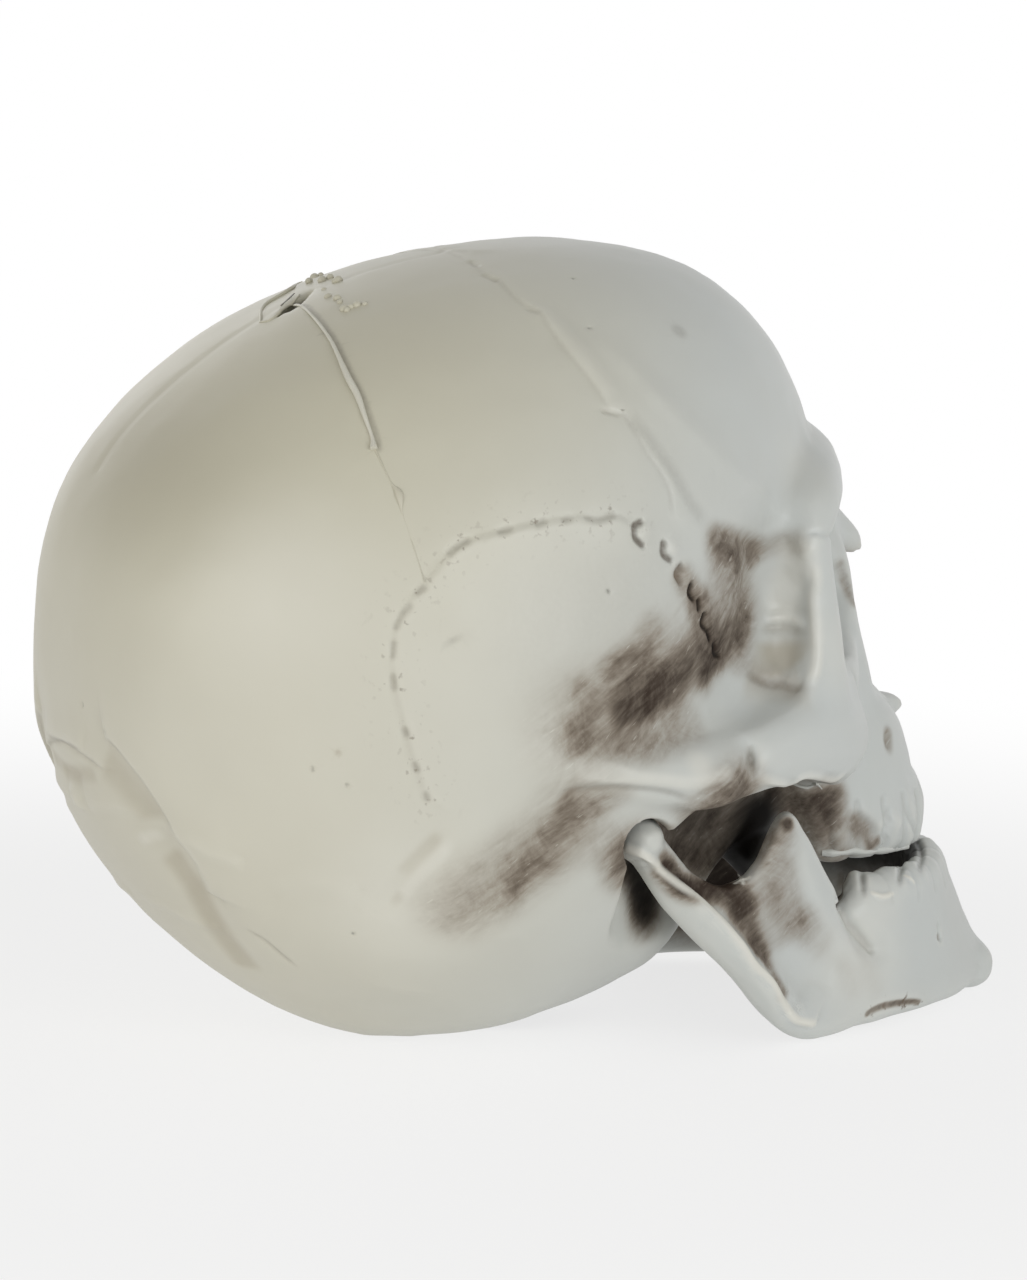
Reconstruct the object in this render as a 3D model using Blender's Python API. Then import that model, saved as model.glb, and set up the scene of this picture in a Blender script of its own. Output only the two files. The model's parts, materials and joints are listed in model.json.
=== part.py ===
"""Soft moulded skull with a movable jaw that is held shut by two springs.

The skull stands on a small flat under its base and on the two angles of its jaw.
+Z is up, the face looks to -Y, and +X is the skull's own left side. The origin
lies on the flat under the base, in the middle plane. All sizes are in metres.
"""
from math import cos, pi, radians, sin

import bmesh
import bpy
import numpy as np
from mathutils import Matrix, Vector

MM = 0.001

# Braincase: a ball drawn out from the forehead to the back of the head
FOREHEAD_Y = -0.0976
OCCIPUT_Y = 0.0656
# Each is given at the forehead, at the middle and at the back of the head
HALF_WIDTHS = (0.0576, 0.0707, 0.0628)
HEIGHTS_ABOVE = (0.0864, 0.0746, 0.0715)
DEPTHS_BELOW = (0.0740, 0.0860, 0.0695)
CENTRE_HEIGHTS = (0.0974, 0.0858, 0.0818)
# Powers under one make the ends and the cross-sections blunter than an ellipse's
END_POWER = 0.80
SECTION_POWER = 0.86

# Casting
WALL = 0.0032
FORAMEN_Y = -0.0350
FORAMEN_HALF_WIDTH = 0.0130
FORAMEN_HALF_LENGTH = 0.0150
SLIT_X = -0.0020
SLIT_Y = 0.0155
SLIT_TURN = 33.0
SLIT_LENGTH = 0.0130
SLIT_WIDTH = 0.0034
# How far the cutters of the openings run past the wall
CUT_DEPTH = 0.0120

# Face openings
ORBIT_CENTRE = (0.0295, -0.0970, 0.0925)
ORBIT_RADII = (0.0172, 0.0300, 0.0155)
ORBIT_TURN = 22.0
NOSE_HALF_WIDTH = 0.0120

# Jaw hinge: the line through the two condyles
HINGE_Y = -0.0380
HINGE_Z = 0.0467
CONDYLE_X = 0.0520
CONDYLE_RADII = (0.0085, 0.0052, 0.0052)
SOCKET_GAP = 0.00045

# Jaw
RAMUS_THICKNESS = 0.0068
RAMUS_BORDER_RADIUS = 0.0042

# Springs and the eyes that hold them
SPRING_Y = -0.0800
SPRING_TO_BRANCH = 0.0028
UPPER_EYE_Z = 0.0360
LOWER_EYE_Z = 0.0085
EYE_RADIUS = 0.0026
EYE_WIRE = 0.0013
EYE_HOLE_GAP = 0.0003
UPPER_SHANK_LENGTH = 0.0130
LOWER_SHANK_LENGTH = 0.0050
BOSS_RADIUS = 0.0045
BOSS_FACE_X = 0.0300
JAW_BOSS_RADIUS = 0.0040
JAW_BOSS_HEIGHT = 0.0009
SPRING_WIRE = 0.0005
SPRING_RADIUS = 0.0026
SPRING_CURLS = 13
CURL_POINTS = 8
HOOK_RADIUS = 0.0022
HOOK_GAP = 0.0003
HOOK_LEAD = 0.0012

# Fineness of the modelled skin and of the finished facets
CRANIUM_VOXEL = 0.0014
JAW_VOXEL = 0.0011
CRANIUM_FACETS = 5600
CAVITY_FACETS = 1000
JAW_FACETS = 2900


def blunt(value, power):
    """The value with its size raised to the power and its sign kept."""
    return abs(value) ** power * (1 if value > 0 else -1)


def three_stations(values, c):
    """Value at the cosine c, from +1 at the forehead over 0 at the middle to -1 at the back."""
    front, middle, back = values
    return middle + (front - back) / 2 * c + ((front + back) / 2 - middle) * c * c


def braincase_point(turn, around, inset=0.0):
    """Point of the ball at the angle turn from the forehead pole and the angle around it."""
    c, s = cos(turn), sin(turn) ** END_POWER
    width = (three_stations(HALF_WIDTHS, c) - inset) * s
    above = (three_stations(HEIGHTS_ABOVE, c) - inset) * s
    below = (three_stations(DEPTHS_BELOW, c) - inset) * s
    middle = (FOREHEAD_Y + OCCIPUT_Y) / 2
    half = (OCCIPUT_Y - FOREHEAD_Y) / 2 - inset
    rise = blunt(sin(around), SECTION_POWER)
    return Vector((width * blunt(cos(around), SECTION_POWER),
                   middle - half * c,
                   three_stations(CENTRE_HEIGHTS, c) + (above if rise > 0 else below) * rise))


def linked(name, bm):
    """Makes an object of the bmesh."""
    mesh = bpy.data.meshes.new(name)
    bm.to_mesh(mesh)
    bm.free()
    obj = bpy.data.objects.new(name, mesh)
    bpy.context.scene.collection.objects.link(obj)
    return obj


def new_object(name, bm):
    """Makes an object of the bmesh, with its faces turned outwards."""
    bmesh.ops.recalc_face_normals(bm, faces=bm.faces)
    return linked(name, bm)


def bridge(bm, rings):
    """Bridges rings of points into one closed skin with filled ends."""
    loops = [[bm.verts.new(p) for p in ring] for ring in rings]
    count = len(loops[0])
    for first, second in zip(loops, loops[1:]):
        for i in range(count):
            j = (i + 1) % count
            bm.faces.new((first[i], first[j], second[j], second[i]))
    bm.faces.new(loops[0][::-1])
    bm.faces.new(loops[-1])


def loft(name, rings):
    bm = bmesh.new()
    bridge(bm, rings)
    return new_object(name, bm)


def braincase(name, inset=0.0, around=40, along=28):
    rings = []
    for i in range(1, along):
        turn = pi * i / along
        rings.append([braincase_point(turn, 2 * pi * j / around, inset) for j in range(around)])
    bm = bmesh.new()
    bridge(bm, rings)
    return new_object(name, bm)


def smooth_points(points, steps=6):
    """Points on the smooth curve through the given ones."""
    padded = [2 * points[0] - points[1], *points, 2 * points[-1] - points[-2]]
    result = []
    for a, b, c, d in zip(padded, padded[1:], padded[2:], padded[3:]):
        for i in range(steps):
            t = i / steps
            result.append(0.5 * (2 * b + (c - a) * t + (2 * a - 5 * b + 4 * c - d) * t * t
                                 + (3 * b - a - 3 * c + d) * t ** 3))
    return result + [points[-1].copy()]


def strut(name, stations, side=1, flat=(1, 1, 1), around=14):
    """A bar through stations of (x, y, z, radius) in millimetres, with rounded ends.

    Its section is round, or squeezed along the axes by the shares in flat.
    """
    path = smooth_points([Vector((side * x, y, z, radius)) * MM for x, y, z, radius in stations])
    centres = [p.to_3d() for p in path]
    radii = [p.w for p in path]
    tangents = [(b - a).normalized() for a, b in zip(centres, centres[1:])]
    tangents.append(tangents[-1])
    for step in (30, 60, 80):
        lift, shrink = cos(radians(90 - step)), sin(radians(90 - step))
        centres.insert(0, path[0].to_3d() - tangents[0] * path[0].w * lift)
        radii.insert(0, path[0].w * shrink)
        tangents.insert(0, tangents[0])
        centres.append(path[-1].to_3d() + tangents[-1] * path[-1].w * lift)
        radii.append(path[-1].w * shrink)
        tangents.append(tangents[-1])
    across = tangents[0].orthogonal().normalized()
    rings = []
    for centre, radius, tangent in zip(centres, radii, tangents):
        across = (across - tangent * across.dot(tangent)).normalized()
        other = tangent.cross(across)
        turns = [2 * pi * k / around for k in range(around)]
        rings.append([centre + radius * (across * cos(a) + other * sin(a)) * Vector(flat) for a in turns])
    return loft(name, rings)


def ellipsoid(name, centre, radii, side=1, grow=0.0, turn=0.0, segments=24):
    """A ball with three radii, turned about the vertical."""
    bm = bmesh.new()
    bmesh.ops.create_uvsphere(bm, u_segments=segments, v_segments=segments * 2 // 3, radius=1.0)
    size = Matrix.Diagonal([r + grow for r in radii] + [1.0])
    place = Matrix.Translation((side * centre[0], centre[1], centre[2]))
    bmesh.ops.transform(bm, matrix=place @ Matrix.Rotation(side * turn, 4, "Z") @ size, verts=bm.verts)
    return new_object(name, bm)


def joined(name, objects):
    """Puts the meshes of several objects into one object."""
    bm = bmesh.new()
    for obj in objects:
        bm.from_mesh(obj.data)
        bpy.data.objects.remove(obj)
    return linked(name, bm)


def settle(obj):
    """Replaces the object's mesh by what its modifiers make of it."""
    graph = bpy.context.evaluated_depsgraph_get()
    mesh = bpy.data.meshes.new_from_object(obj.evaluated_get(graph))
    obj.modifiers.clear()
    obj.data = mesh
    return obj


def skin(obj, voxel, rounds=0):
    """Grows one closed skin over the shapes of the object and smooths it."""
    remesh = obj.modifiers.new("Skin", "REMESH")
    remesh.mode = "VOXEL"
    remesh.voxel_size = voxel
    if rounds:
        soften = obj.modifiers.new("Soften", "SMOOTH")
        soften.factor = 0.5
        soften.iterations = rounds
    return settle(obj)


def cut(obj, cutters):
    """Takes the cutters away from the object and removes them."""
    for cutter in cutters:
        boolean = obj.modifiers.new("Cut", "BOOLEAN")
        boolean.operation = "DIFFERENCE"
        boolean.solver = "EXACT"
        boolean.object = cutter
        settle(obj)
        bpy.data.objects.remove(cutter)
    return obj


def reduce(obj, facets):
    """Reduces the skin to about the given number of facets."""
    obj.data.calc_loop_triangles()
    share = facets / len(obj.data.loop_triangles)
    decimate = obj.modifiers.new("Facets", "DECIMATE")
    decimate.ratio = min(1.0, share)
    return settle(obj)


def material(name, colour, roughness, metallic=0.0):
    mat = bpy.data.materials.new(name)
    mat.use_nodes = True
    shader = mat.node_tree.nodes["Principled BSDF"]
    shader.inputs["Base Color"].default_value = (*colour, 1.0)
    shader.inputs["Roughness"].default_value = roughness
    shader.inputs["Metallic"].default_value = metallic
    return mat


def finish(obj, mat, origin=None):
    """Gives a finished piece its material, smooth shading and its origin."""
    mesh = obj.data
    mesh.materials.clear()
    mesh.materials.append(mat)
    if origin is not None:
        mesh.transform(Matrix.Translation(-Vector(origin)))
        obj.location = origin
    mesh.shade_smooth()
    mesh.set_sharp_from_angle(angle=radians(40))
    return obj


def u_ring(height, half_width, front, middle, back, around=28):
    """Level ring of a dental arch form: wide behind, rounded to the front, in millimetres."""
    ring = []
    for k in range(around):
        a = 2 * pi * k / around
        x = half_width * blunt(cos(a), SECTION_POWER)
        reach = middle - front if sin(a) < 0 else back - middle
        ring.append(Vector((x, middle + reach * sin(a), height)) * MM)
    return ring


def arch_point(share, half_width, front, back):
    """Place on the dental arch, at a share from 0 at the middle of the front to 1 at the last molar."""
    a = share * radians(88)
    return half_width * blunt(sin(a), SECTION_POWER), back + (front - back) * cos(a)


def tooth_row(name, count, half_width, front, back, root_z, edge_z, radius):
    """Root swellings of one side's teeth, which end at the biting edge."""
    forms = []
    for side in (-1, 1):
        for k in range(count):
            x, y = arch_point((k + 0.5) / count, half_width, front, back)
            forms.append(strut(name, [(x * 0.985, y, root_z, radius * 0.7), (x, y, (root_z + edge_z) / 2, radius),
                                      (x, y, edge_z, radius * 0.9)], side, around=10))
    return forms


def face_forms():
    """The middle face: brow, nose root, cheeks and upper jaw as overlapping forms."""
    forms = [loft("mid_face", [
        u_ring(130, 34, -93, -70, -60),
        u_ring(120, 39, -97.5, -70, -60),
        u_ring(110, 41, -96, -70, -60),
        u_ring(94, 41, -97, -72, -60),
        u_ring(80, 36, -102, -74, -60),
        u_ring(69, 32, -113, -80, -66),
        u_ring(62, 31, -121.5, -84, -72),
        u_ring(55, 31, -124.4, -87, -78),
        u_ring(46, 30.5, -125.6, -90, -86),
        u_ring(38, 29.6, -126.4, -92, -90),
        u_ring(33.6, 28.6, -126.0, -92, -90.5),
    ])]
    forms.append(strut("nose_root", [(0, -94, 112, 8), (0, -102, 104, 6.4), (0, -111.8, 96.8, 4.6)],
                       flat=(1.25, 1, 1)))
    forms.append(strut("nose_spine", [(0, -118, 62.2, 5.0), (0, -123, 61.8, 3.4), (0, -126.4, 61.4, 1.9)]))
    for side in (-1, 1):
        forms.append(strut("brow", [(48.8, -75.5, 103, 5.4), (44.5, -79.5, 109.6, 6.4), (34, -85, 113.6, 7.4),
                                    (16, -92.4, 116.0, 8.4), (0, -95.6, 117.0, 9.0)], side))
        forms.append(strut("orbit_side", [(48.2, -77, 104, 5.8), (46.8, -79, 94, 5.8), (46.8, -79.5, 84, 6.6),
                                          (46, -79.5, 73, 9)], side))
        forms.append(strut("orbit_floor", [(46, -80, 73, 7), (37, -88.5, 72, 6.5), (26, -95.5, 73.5, 6.0),
                                           (15.5, -101, 78, 5)], side))
        forms.append(strut("nose_side", [(6.0, -99.5, 106, 5.2), (9.5, -103, 94, 4.8), (14.0, -103, 81, 4.8),
                                         (15.5, -105.5, 68, 5.5)], side))
        forms.append(strut("cheek", [(30, -90.5, 62, 11), (40, -85, 62.5, 11.5), (49, -75.5, 64.5, 10.6),
                                     (56.5, -64, 64, 9.0), (61.5, -51, 61.4, 7.6), (64.5, -38, 61.6, 6.6),
                                     (66.4, -24, 63.5, 6), (66.5, -8, 67, 5.4)], side, flat=(0.8, 1, 1)))
        forms.append(strut("pterygoid", [(18.5, -80, 58, 9), (20, -81, 44, 7.4), (20.5, -82, 34, 5.8)], side))
    return forms + tooth_row("upper_tooth", 7, 28.2, -126.2, -92, 47, 35.6, 3.0)


def bay(side, grow=0.0):
    """The hollow under the cheek arch, which the upright branch of the jaw moves in."""
    stations = (
        # y, inner x at the bottom and at the top, and the height of the ceiling
        (-93.5, 32, 35, 47),
        (-86, 27.5, 31, 54),
        (-78, 26, 29, 57),
        (-68, 26, 29, 57.5),
        (-57, 30, 33, 56.5),
        (-49, 36, 39, 53),
        (-42, 42, 44, 48.5),
        (-32.5, 64, 47, 44),
    )
    more = grow / MM
    rings = []
    for k, (y, low_x, high_x, top) in enumerate(stations):
        ceiling = top + more
        outer = min(ceiling, 52.5 + more)
        y += more * (-1 if k == 0 else 1 if k == len(stations) - 1 else 0)
        profile = ((low_x - more, -15), (high_x - more, ceiling - 6), (high_x + 5 - more, ceiling),
                   (57, ceiling - 1), (62, outer), (90, outer), (90, -15))
        rings.append([Vector((side * x, y, z)) * MM for x, z in profile])
    return loft("bay", rings)


def temple(side, grow=0.0):
    """Room for the hollow that is pressed in behind the outer rim of the eye socket."""
    return ellipsoid("temple", (0.0630, -0.0620, 0.0900), (0.0180, 0.0205, 0.0275), side, grow,
                     turn=radians(30))


def orbit(side, grow=0.0):
    return ellipsoid("orbit", ORBIT_CENTRE, ORBIT_RADII, side, grow, turn=radians(ORBIT_TURN))


def nose(grow=0.0):
    low = ellipsoid("nose_low", (0, -0.1180, 0.0755), (NOSE_HALF_WIDTH, 0.024, 0.0115), grow=grow)
    high = ellipsoid("nose_high", (0, -0.1130, 0.0860), (NOSE_HALF_WIDTH * 0.6, 0.016, 0.0110), grow=grow)
    return [low, high]


def palate():
    return ellipsoid("palate", (0, -0.0985, 0.0325), (0.0195, 0.0245, 0.0105))


def box(name, low, high):
    bm = bmesh.new()
    bmesh.ops.create_cube(bm, size=1.0)
    size = Vector(high) - Vector(low)
    place = Matrix.Translation((Vector(low) + Vector(high)) / 2) @ Matrix.Diagonal((*size, 1.0))
    bmesh.ops.transform(bm, matrix=place, verts=bm.verts)
    return new_object(name, bm)


def prism(name, outline, low_z, high_z):
    """Upright prism over an outline of (x, y)."""
    return loft(name, [[Vector((x, y, z)) for x, y in outline] for z in (low_z, high_z)])


def foramen():
    """The round way into the hollow head, in the base between the jaw's branches."""
    outline = [(FORAMEN_HALF_WIDTH * cos(a), FORAMEN_Y + FORAMEN_HALF_LENGTH * sin(a))
               for a in (2 * pi * k / 24 for k in range(24))]
    return prism("foramen", outline, -CUT_DEPTH, WALL + CUT_DEPTH)


def slit():
    """The pointed cut in the crown, which runs askew to the middle line."""
    turn = Matrix.Rotation(radians(SLIT_TURN), 2)
    outline = []
    for way in (-1, 1):
        for k in range(6):
            t = way * (2 * k / 6 - 1)
            point = turn @ Vector((way * SLIT_WIDTH / 2 * cos(t * pi / 2), t * SLIT_LENGTH / 2))
            outline.append((point.x + SLIT_X, point.y + SLIT_Y))
    crown = CENTRE_HEIGHTS[1] + HEIGHTS_ABOVE[1]
    return prism("slit", outline, crown - WALL - CUT_DEPTH, crown + CUT_DEPTH)


def socket(side):
    """The round seat of a condyle, with running clearance all round."""
    return ellipsoid("socket", (CONDYLE_X, HINGE_Y, HINGE_Z), CONDYLE_RADII, side, grow=SOCKET_GAP,
                     segments=20)


def eye_hole(side, centre_z, inner_x, outer_x):
    """The drilled seat of a screw eye's shank, along X."""
    bm = bmesh.new()
    radius = EYE_WIRE / 2 + EYE_HOLE_GAP
    bmesh.ops.create_cone(bm, cap_ends=True, segments=16, radius1=radius, radius2=radius,
                          depth=outer_x - inner_x)
    place = Matrix.Translation((side * (inner_x + outer_x) / 2, SPRING_Y, centre_z))
    bmesh.ops.transform(bm, matrix=place @ Matrix.Rotation(pi / 2, 4, "Y"), verts=bm.verts)
    return new_object("eye_hole", bm)


def cavity():
    """The inside of the casting, kept a wall's thickness away from the hollows of the outside."""
    room = skin(braincase("cavity", WALL, around=32, along=24), 0.003)
    floor = box("floor", (-0.1, -0.15, -0.03), (0.1, 0.1, WALL))
    blocks = [floor]
    for side in (-1, 1):
        blocks += [orbit(side, WALL), temple(side, WALL), bay(side, WALL)]
    cut(room, blocks + nose(WALL))
    skin(room, 0.0025, 6)
    return reduce(room, CAVITY_FACETS)


def flatten(obj, height):
    """Cuts the object off level at the height and closes the cut."""
    bm = bmesh.new()
    bm.from_mesh(obj.data)
    everything = bm.verts[:] + bm.edges[:] + bm.faces[:]
    cut_ring = bmesh.ops.bisect_plane(bm, geom=everything, dist=1e-6, plane_co=(0, 0, height),
                                      plane_no=(0, 0, -1), clear_outer=True)
    edges = [e for e in cut_ring["geom_cut"] if isinstance(e, bmesh.types.BMEdge)]
    bmesh.ops.holes_fill(bm, edges=edges)
    bmesh.ops.recalc_face_normals(bm, faces=bm.faces)
    bm.to_mesh(obj.data)
    bm.free()


def press(obj, strokes):
    """Moves the skin along its normals in soft strokes.

    A stroke is (points of its line in millimetres, radius, height); it is made on both sides.
    """
    mesh = obj.data
    count = len(mesh.vertices)
    points = np.empty(count * 3)
    normals = np.empty(count * 3)
    mesh.vertices.foreach_get("co", points)
    mesh.vertices.foreach_get("normal", normals)
    points = points.reshape(-1, 3)
    normals = normals.reshape(-1, 3)
    near = np.abs(points) * (1, 0, 0) + points * (0, 1, 1)
    for line, radius, height in strokes:
        path = np.array(line, dtype=float) * MM
        distance = np.full(count, 1.0)
        for a, b in zip(path, path[1:]):
            span = b - a
            t = np.clip(((near - a) @ span) / (span @ span), 0, 1)
            distance = np.minimum(distance, np.linalg.norm(near - a - t[:, None] * span, axis=1))
        falloff = np.exp(-(distance / (radius * MM)) ** 2)
        points = points + normals * (falloff * height * MM)[:, None]
    mesh.vertices.foreach_set("co", points.ravel())
    mesh.update()
    return obj


CRANIUM_STROKES = (
    # the base swells at the flat and in front of the way in
    (((6, 3, -1), (6, 12, -1)), 14, 1.5),
    (((20, -50, 8), (26, -58, 16)), 12, 2.6),
    # beside the flat the base draws in
    (((30, 16, 7), (35, 2, 8)), 11, -1.6),
    # hollow behind the outer rim of the eye socket
    (((50, -68, 104), (50, -66, 92)), 9, -3.2),
    (((51, -64, 94), (54, -58, 82)), 12, -3.6),
    (((56, -56, 76), (61, -42, 72)), 9, -2.2),
    (((33, -48, 20), (36, -52, 25)), 8, 1.6),
    # crest on the outer rim of the eye socket, with a shallow band behind it
    (((52, -76, 104), (50, -78, 95), (52, -78, 84), (54, -75, 74)), 2.6, 1.5),
    (((47, -71, 94), (47, -71, 88), (49, -68, 81)), 5, -0.9),
    # the cheek arch droops a little before its joint with the cheek bone
    (((64, -46, 55), (65, -51, 56)), 4, 1.4),
    (((66, -57, 68), (66, -57, 59)), 2.4, -1.8),
    # bony line that bounds the temple from above
    (((49, -30, 145), (55, -36, 137), (58, -46, 127), (56, -58, 118), (48, -72, 108)), 4.5, 0.7),
    # mastoid swelling with a groove behind it
    (((59, 2, 44), (56, -3, 32)), 10, 2.0),
    (((63, 11, 51), (60, 15, 43), (57, 16, 38)), 4.5, -0.8),
    (((64, 5, 50), (60, 9, 42)), 4.5, 0.8),
    # folds across the back of the head
    (((19, 62, 64), (24, 58, 55), (27, 54, 48)), 6, -0.6),
    (((30, 56, 66), (35, 51, 57), (37, 47, 50)), 6, 0.6),
    (((27, 52, 46), (28, 43, 32), (24, 34, 21)), 6, -0.8),
    # the crown falls off a little towards the back
    (((0, 40, 138), (15, 40, 136)), 20, -1.2),
    # cheek hollow over the tooth roots
    (((26, -106, 62), (30, -98, 52)), 7, -2.0),
)

JAW_STROKES = (
    # edge that divides the rear face of the upright branch from its side, and the hollow in front of it
    (((57, -45, 38), (56, -50, 33), (55, -59, 25), (53, -70, 11)), 1.8, 1.0),
    (((54, -51, 36), (53, -58, 31), (52, -67, 19)), 3.5, -0.9),
    # the fold between the upright branch and the rear tooth
    (((43, -91, 26), (42, -94, 20), (40, -99, 17)), 3, -2.6),
)


def make_cranium(mat):
    body = skin(joined("cranium", [braincase("ball"), *face_forms()]), CRANIUM_VOXEL)
    cutters = nose() + [palate()]
    for side in (-1, 1):
        cutters += [bay(side), orbit(side)]
    cut(body, cutters)
    bosses = [strut("boss", [(18, SPRING_Y / MM, UPPER_EYE_Z / MM, BOSS_RADIUS / MM),
                             ((BOSS_FACE_X - BOSS_RADIUS) / MM, SPRING_Y / MM, UPPER_EYE_Z / MM,
                              BOSS_RADIUS / MM)], side) for side in (-1, 1)]
    body = skin(joined("cranium", [body, *bosses]), CRANIUM_VOXEL, 4)
    press(body, CRANIUM_STROKES)
    reduce(body, CRANIUM_FACETS)
    flatten(body, 0.0)
    holes = [cavity(), foramen(), slit()]
    for side in (-1, 1):
        tip = spring_x() - EYE_RADIUS - UPPER_SHANK_LENGTH
        holes += [socket(side), eye_hole(side, UPPER_EYE_Z, tip - EYE_HOLE_GAP, spring_x())]
    cut(body, holes)
    return finish(body, mat)


def ramus_x(y):
    """Half distance in millimetres between the upright branches: they stand closer towards the front."""
    return CONDYLE_X / MM - 0.0035 * (y - HINGE_Y / MM) ** 2


def branch_face_x():
    """Half distance between the inner faces of the upright branches, at the springs."""
    return ramus_x(SPRING_Y / MM) * MM - RAMUS_THICKNESS / 2


def spring_x():
    """Half distance between the two springs, which hang just inside the upright branches."""
    return branch_face_x() - SPRING_TO_BRANCH - SPRING_RADIUS


def ramus(side):
    """The flat upright branch: its side outline, drawn clockwise from the neck, with a bend in plan."""
    outline = ((-34.5, 45), (-43.2, 37.8), (-57.5, 23.3), (-68.5, 10.6), (-77, 2.4), (-86, 1.2), (-100, 3),
               (-101, 14), (-94.5, 22), (-86.5, 32.5), (-80, 42.5), (-75, 49), (-72.2, 47.8), (-68.2, 40.5),
               (-63.5, 35.6), (-57.5, 35.0), (-51, 38.6), (-46, 43.4), (-41.6, 48.6))
    half = RAMUS_THICKNESS / MM / 2 - 0.7
    rings = []
    for offset in (-half, half):
        rings.append([Vector((side * (ramus_x(y) + offset), y, z)) * MM for y, z in outline])
    return loft("ramus", rings)


def jaw_section(low, top, radius_low, radius_top, along, steps=7):
    """Upright section of the tooth-bearing bar: two half rounds joined by flat sides."""
    low, top = Vector(low) * MM, Vector(top) * MM
    up = (top - low).normalized()
    across = along.cross(up).normalized()
    ring = []
    for centre, radius, start in ((low, radius_low, pi), (top, radius_top, 0.0)):
        for k in range(steps):
            a = start + pi * k / (steps - 1)
            ring.append(centre + radius * MM * (across * cos(a) + up * sin(a)))
    return ring


def jaw_body():
    """The bar from one angle of the jaw round the chin to the other."""
    stations = (
        # lower centre, upper centre, lower radius, upper radius
        ((45.2, -83, 5.2), (43.2, -86, 20), 4.4, 3.6),
        ((40.2, -97, 6.0), (37.2, -96.5, 24.8), 4.7, 4.4),
        ((34.5, -109.5, 6.4), (32.6, -107.5, 25.6), 4.8, 4.4),
        ((26.5, -121.4, 6.2), (26.3, -117.3, 26.2), 5.0, 4.3),
        ((16.5, -131.6, 6.0), (17.2, -124.4, 26.8), 5.4, 4.1),
        ((6.5, -138.8, 5.9), (6.8, -129.0, 27.4), 5.5, 4.0),
    )
    half = [(Vector(low), Vector(top), a, b) for low, top, a, b in stations]
    mirror = [(Vector((-low.x, *low.yz)), Vector((-top.x, *top.yz)), a, b) for low, top, a, b in half[::-1]]
    line = half + mirror
    lows = smooth_points([Vector((*low, a)) for low, top, a, b in line], 3)
    tops = smooth_points([Vector((*top, b)) for low, top, a, b in line], 3)
    rings = []
    for i, (low, top) in enumerate(zip(lows, tops)):
        along = (lows[min(i + 1, len(lows) - 1)] - lows[max(i - 1, 0)]).to_3d().normalized()
        rings.append(jaw_section(low.to_3d(), top.to_3d(), low.w, top.w, along))
    return loft("jaw_body", rings)


def jaw_forms():
    forms = [jaw_body()]
    border = RAMUS_BORDER_RADIUS / MM
    for side in (-1, 1):
        forms.append(ramus(side))
        forms.append(ellipsoid("condyle", (CONDYLE_X, HINGE_Y, HINGE_Z), CONDYLE_RADII, side, segments=20))
        rear = ((-40, 42.5, 0.74), (-48, 33, 0.96), (-60.6, 21.8, 1), (-71, 10.8, 1), (-79.5, 4.8, 1),
                (-90, 5.0, 1))
        forms.append(strut("rear_border", [(ramus_x(y) + 0.8, y, z, border * share) for y, z, share in rear],
                           side))
        forms.append(strut("coronoid", [(ramus_x(-74.6), -74.6, 47.5, 2.0), (ramus_x(-77), -77.5, 38, 3.2),
                                        (ramus_x(-82) - 1, -83, 26, 4.2), (ramus_x(-90) - 1, -91, 16, 4.4)],
                           side))
        forms.append(strut("molar_block", [(35.8, -97.5, 24.6, 5.4), (33.6, -105, 25, 5.2),
                                           (30.4, -112, 25.6, 4.8)], side))
        boss = JAW_BOSS_RADIUS / MM
        boss_x = (branch_face_x() - JAW_BOSS_HEIGHT + JAW_BOSS_RADIUS) / MM
        forms.append(strut("jaw_boss", [(boss_x, SPRING_Y / MM, LOWER_EYE_Z / MM, boss),
                                        (boss_x + 1, SPRING_Y / MM, LOWER_EYE_Z / MM, boss)], side))
    forms.append(strut("chin", [(-12, -138.4, 6.0, 5.8), (0, -140.8, 6.0, 5.6), (12, -138.4, 6.0, 5.8)]))
    return forms + tooth_row("lower_tooth", 7, 33.4, -130.4, -93, 20, 28.2, 2.9)


def make_jaw(mat):
    body = skin(joined("jaw", jaw_forms()), JAW_VOXEL)
    press(skin(body, JAW_VOXEL, 5), JAW_STROKES)
    reduce(body, JAW_FACETS)
    for side in (-1, 1):
        tip = spring_x() + EYE_RADIUS + LOWER_SHANK_LENGTH
        cut(body, [eye_hole(side, LOWER_EYE_Z, spring_x(), tip + EYE_HOLE_GAP)])
    return finish(body, mat, (0, HINGE_Y, HINGE_Z))


def tube(name, points, wire, sides=3, cyclic=False):
    """One round wire along the points, with filled ends."""
    curve = bpy.data.curves.new(name, "CURVE")
    curve.dimensions = "3D"
    curve.bevel_depth = wire / 2
    curve.bevel_resolution = sides
    curve.use_fill_caps = True
    spline = curve.splines.new("POLY")
    spline.points.add(len(points) - 1)
    for slot, point in zip(spline.points, points):
        slot.co = (*point, 1.0)
    spline.use_cyclic_u = cyclic
    obj = bpy.data.objects.new(name, curve)
    bpy.context.scene.collection.objects.link(obj)
    return settle_curve(obj)


def settle_curve(obj):
    graph = bpy.context.evaluated_depsgraph_get()
    mesh = bpy.data.meshes.new_from_object(obj.evaluated_get(graph))
    name = obj.name
    bpy.data.objects.remove(obj)
    made = bpy.data.objects.new(name, mesh)
    bpy.context.scene.collection.objects.link(made)
    return made


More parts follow.
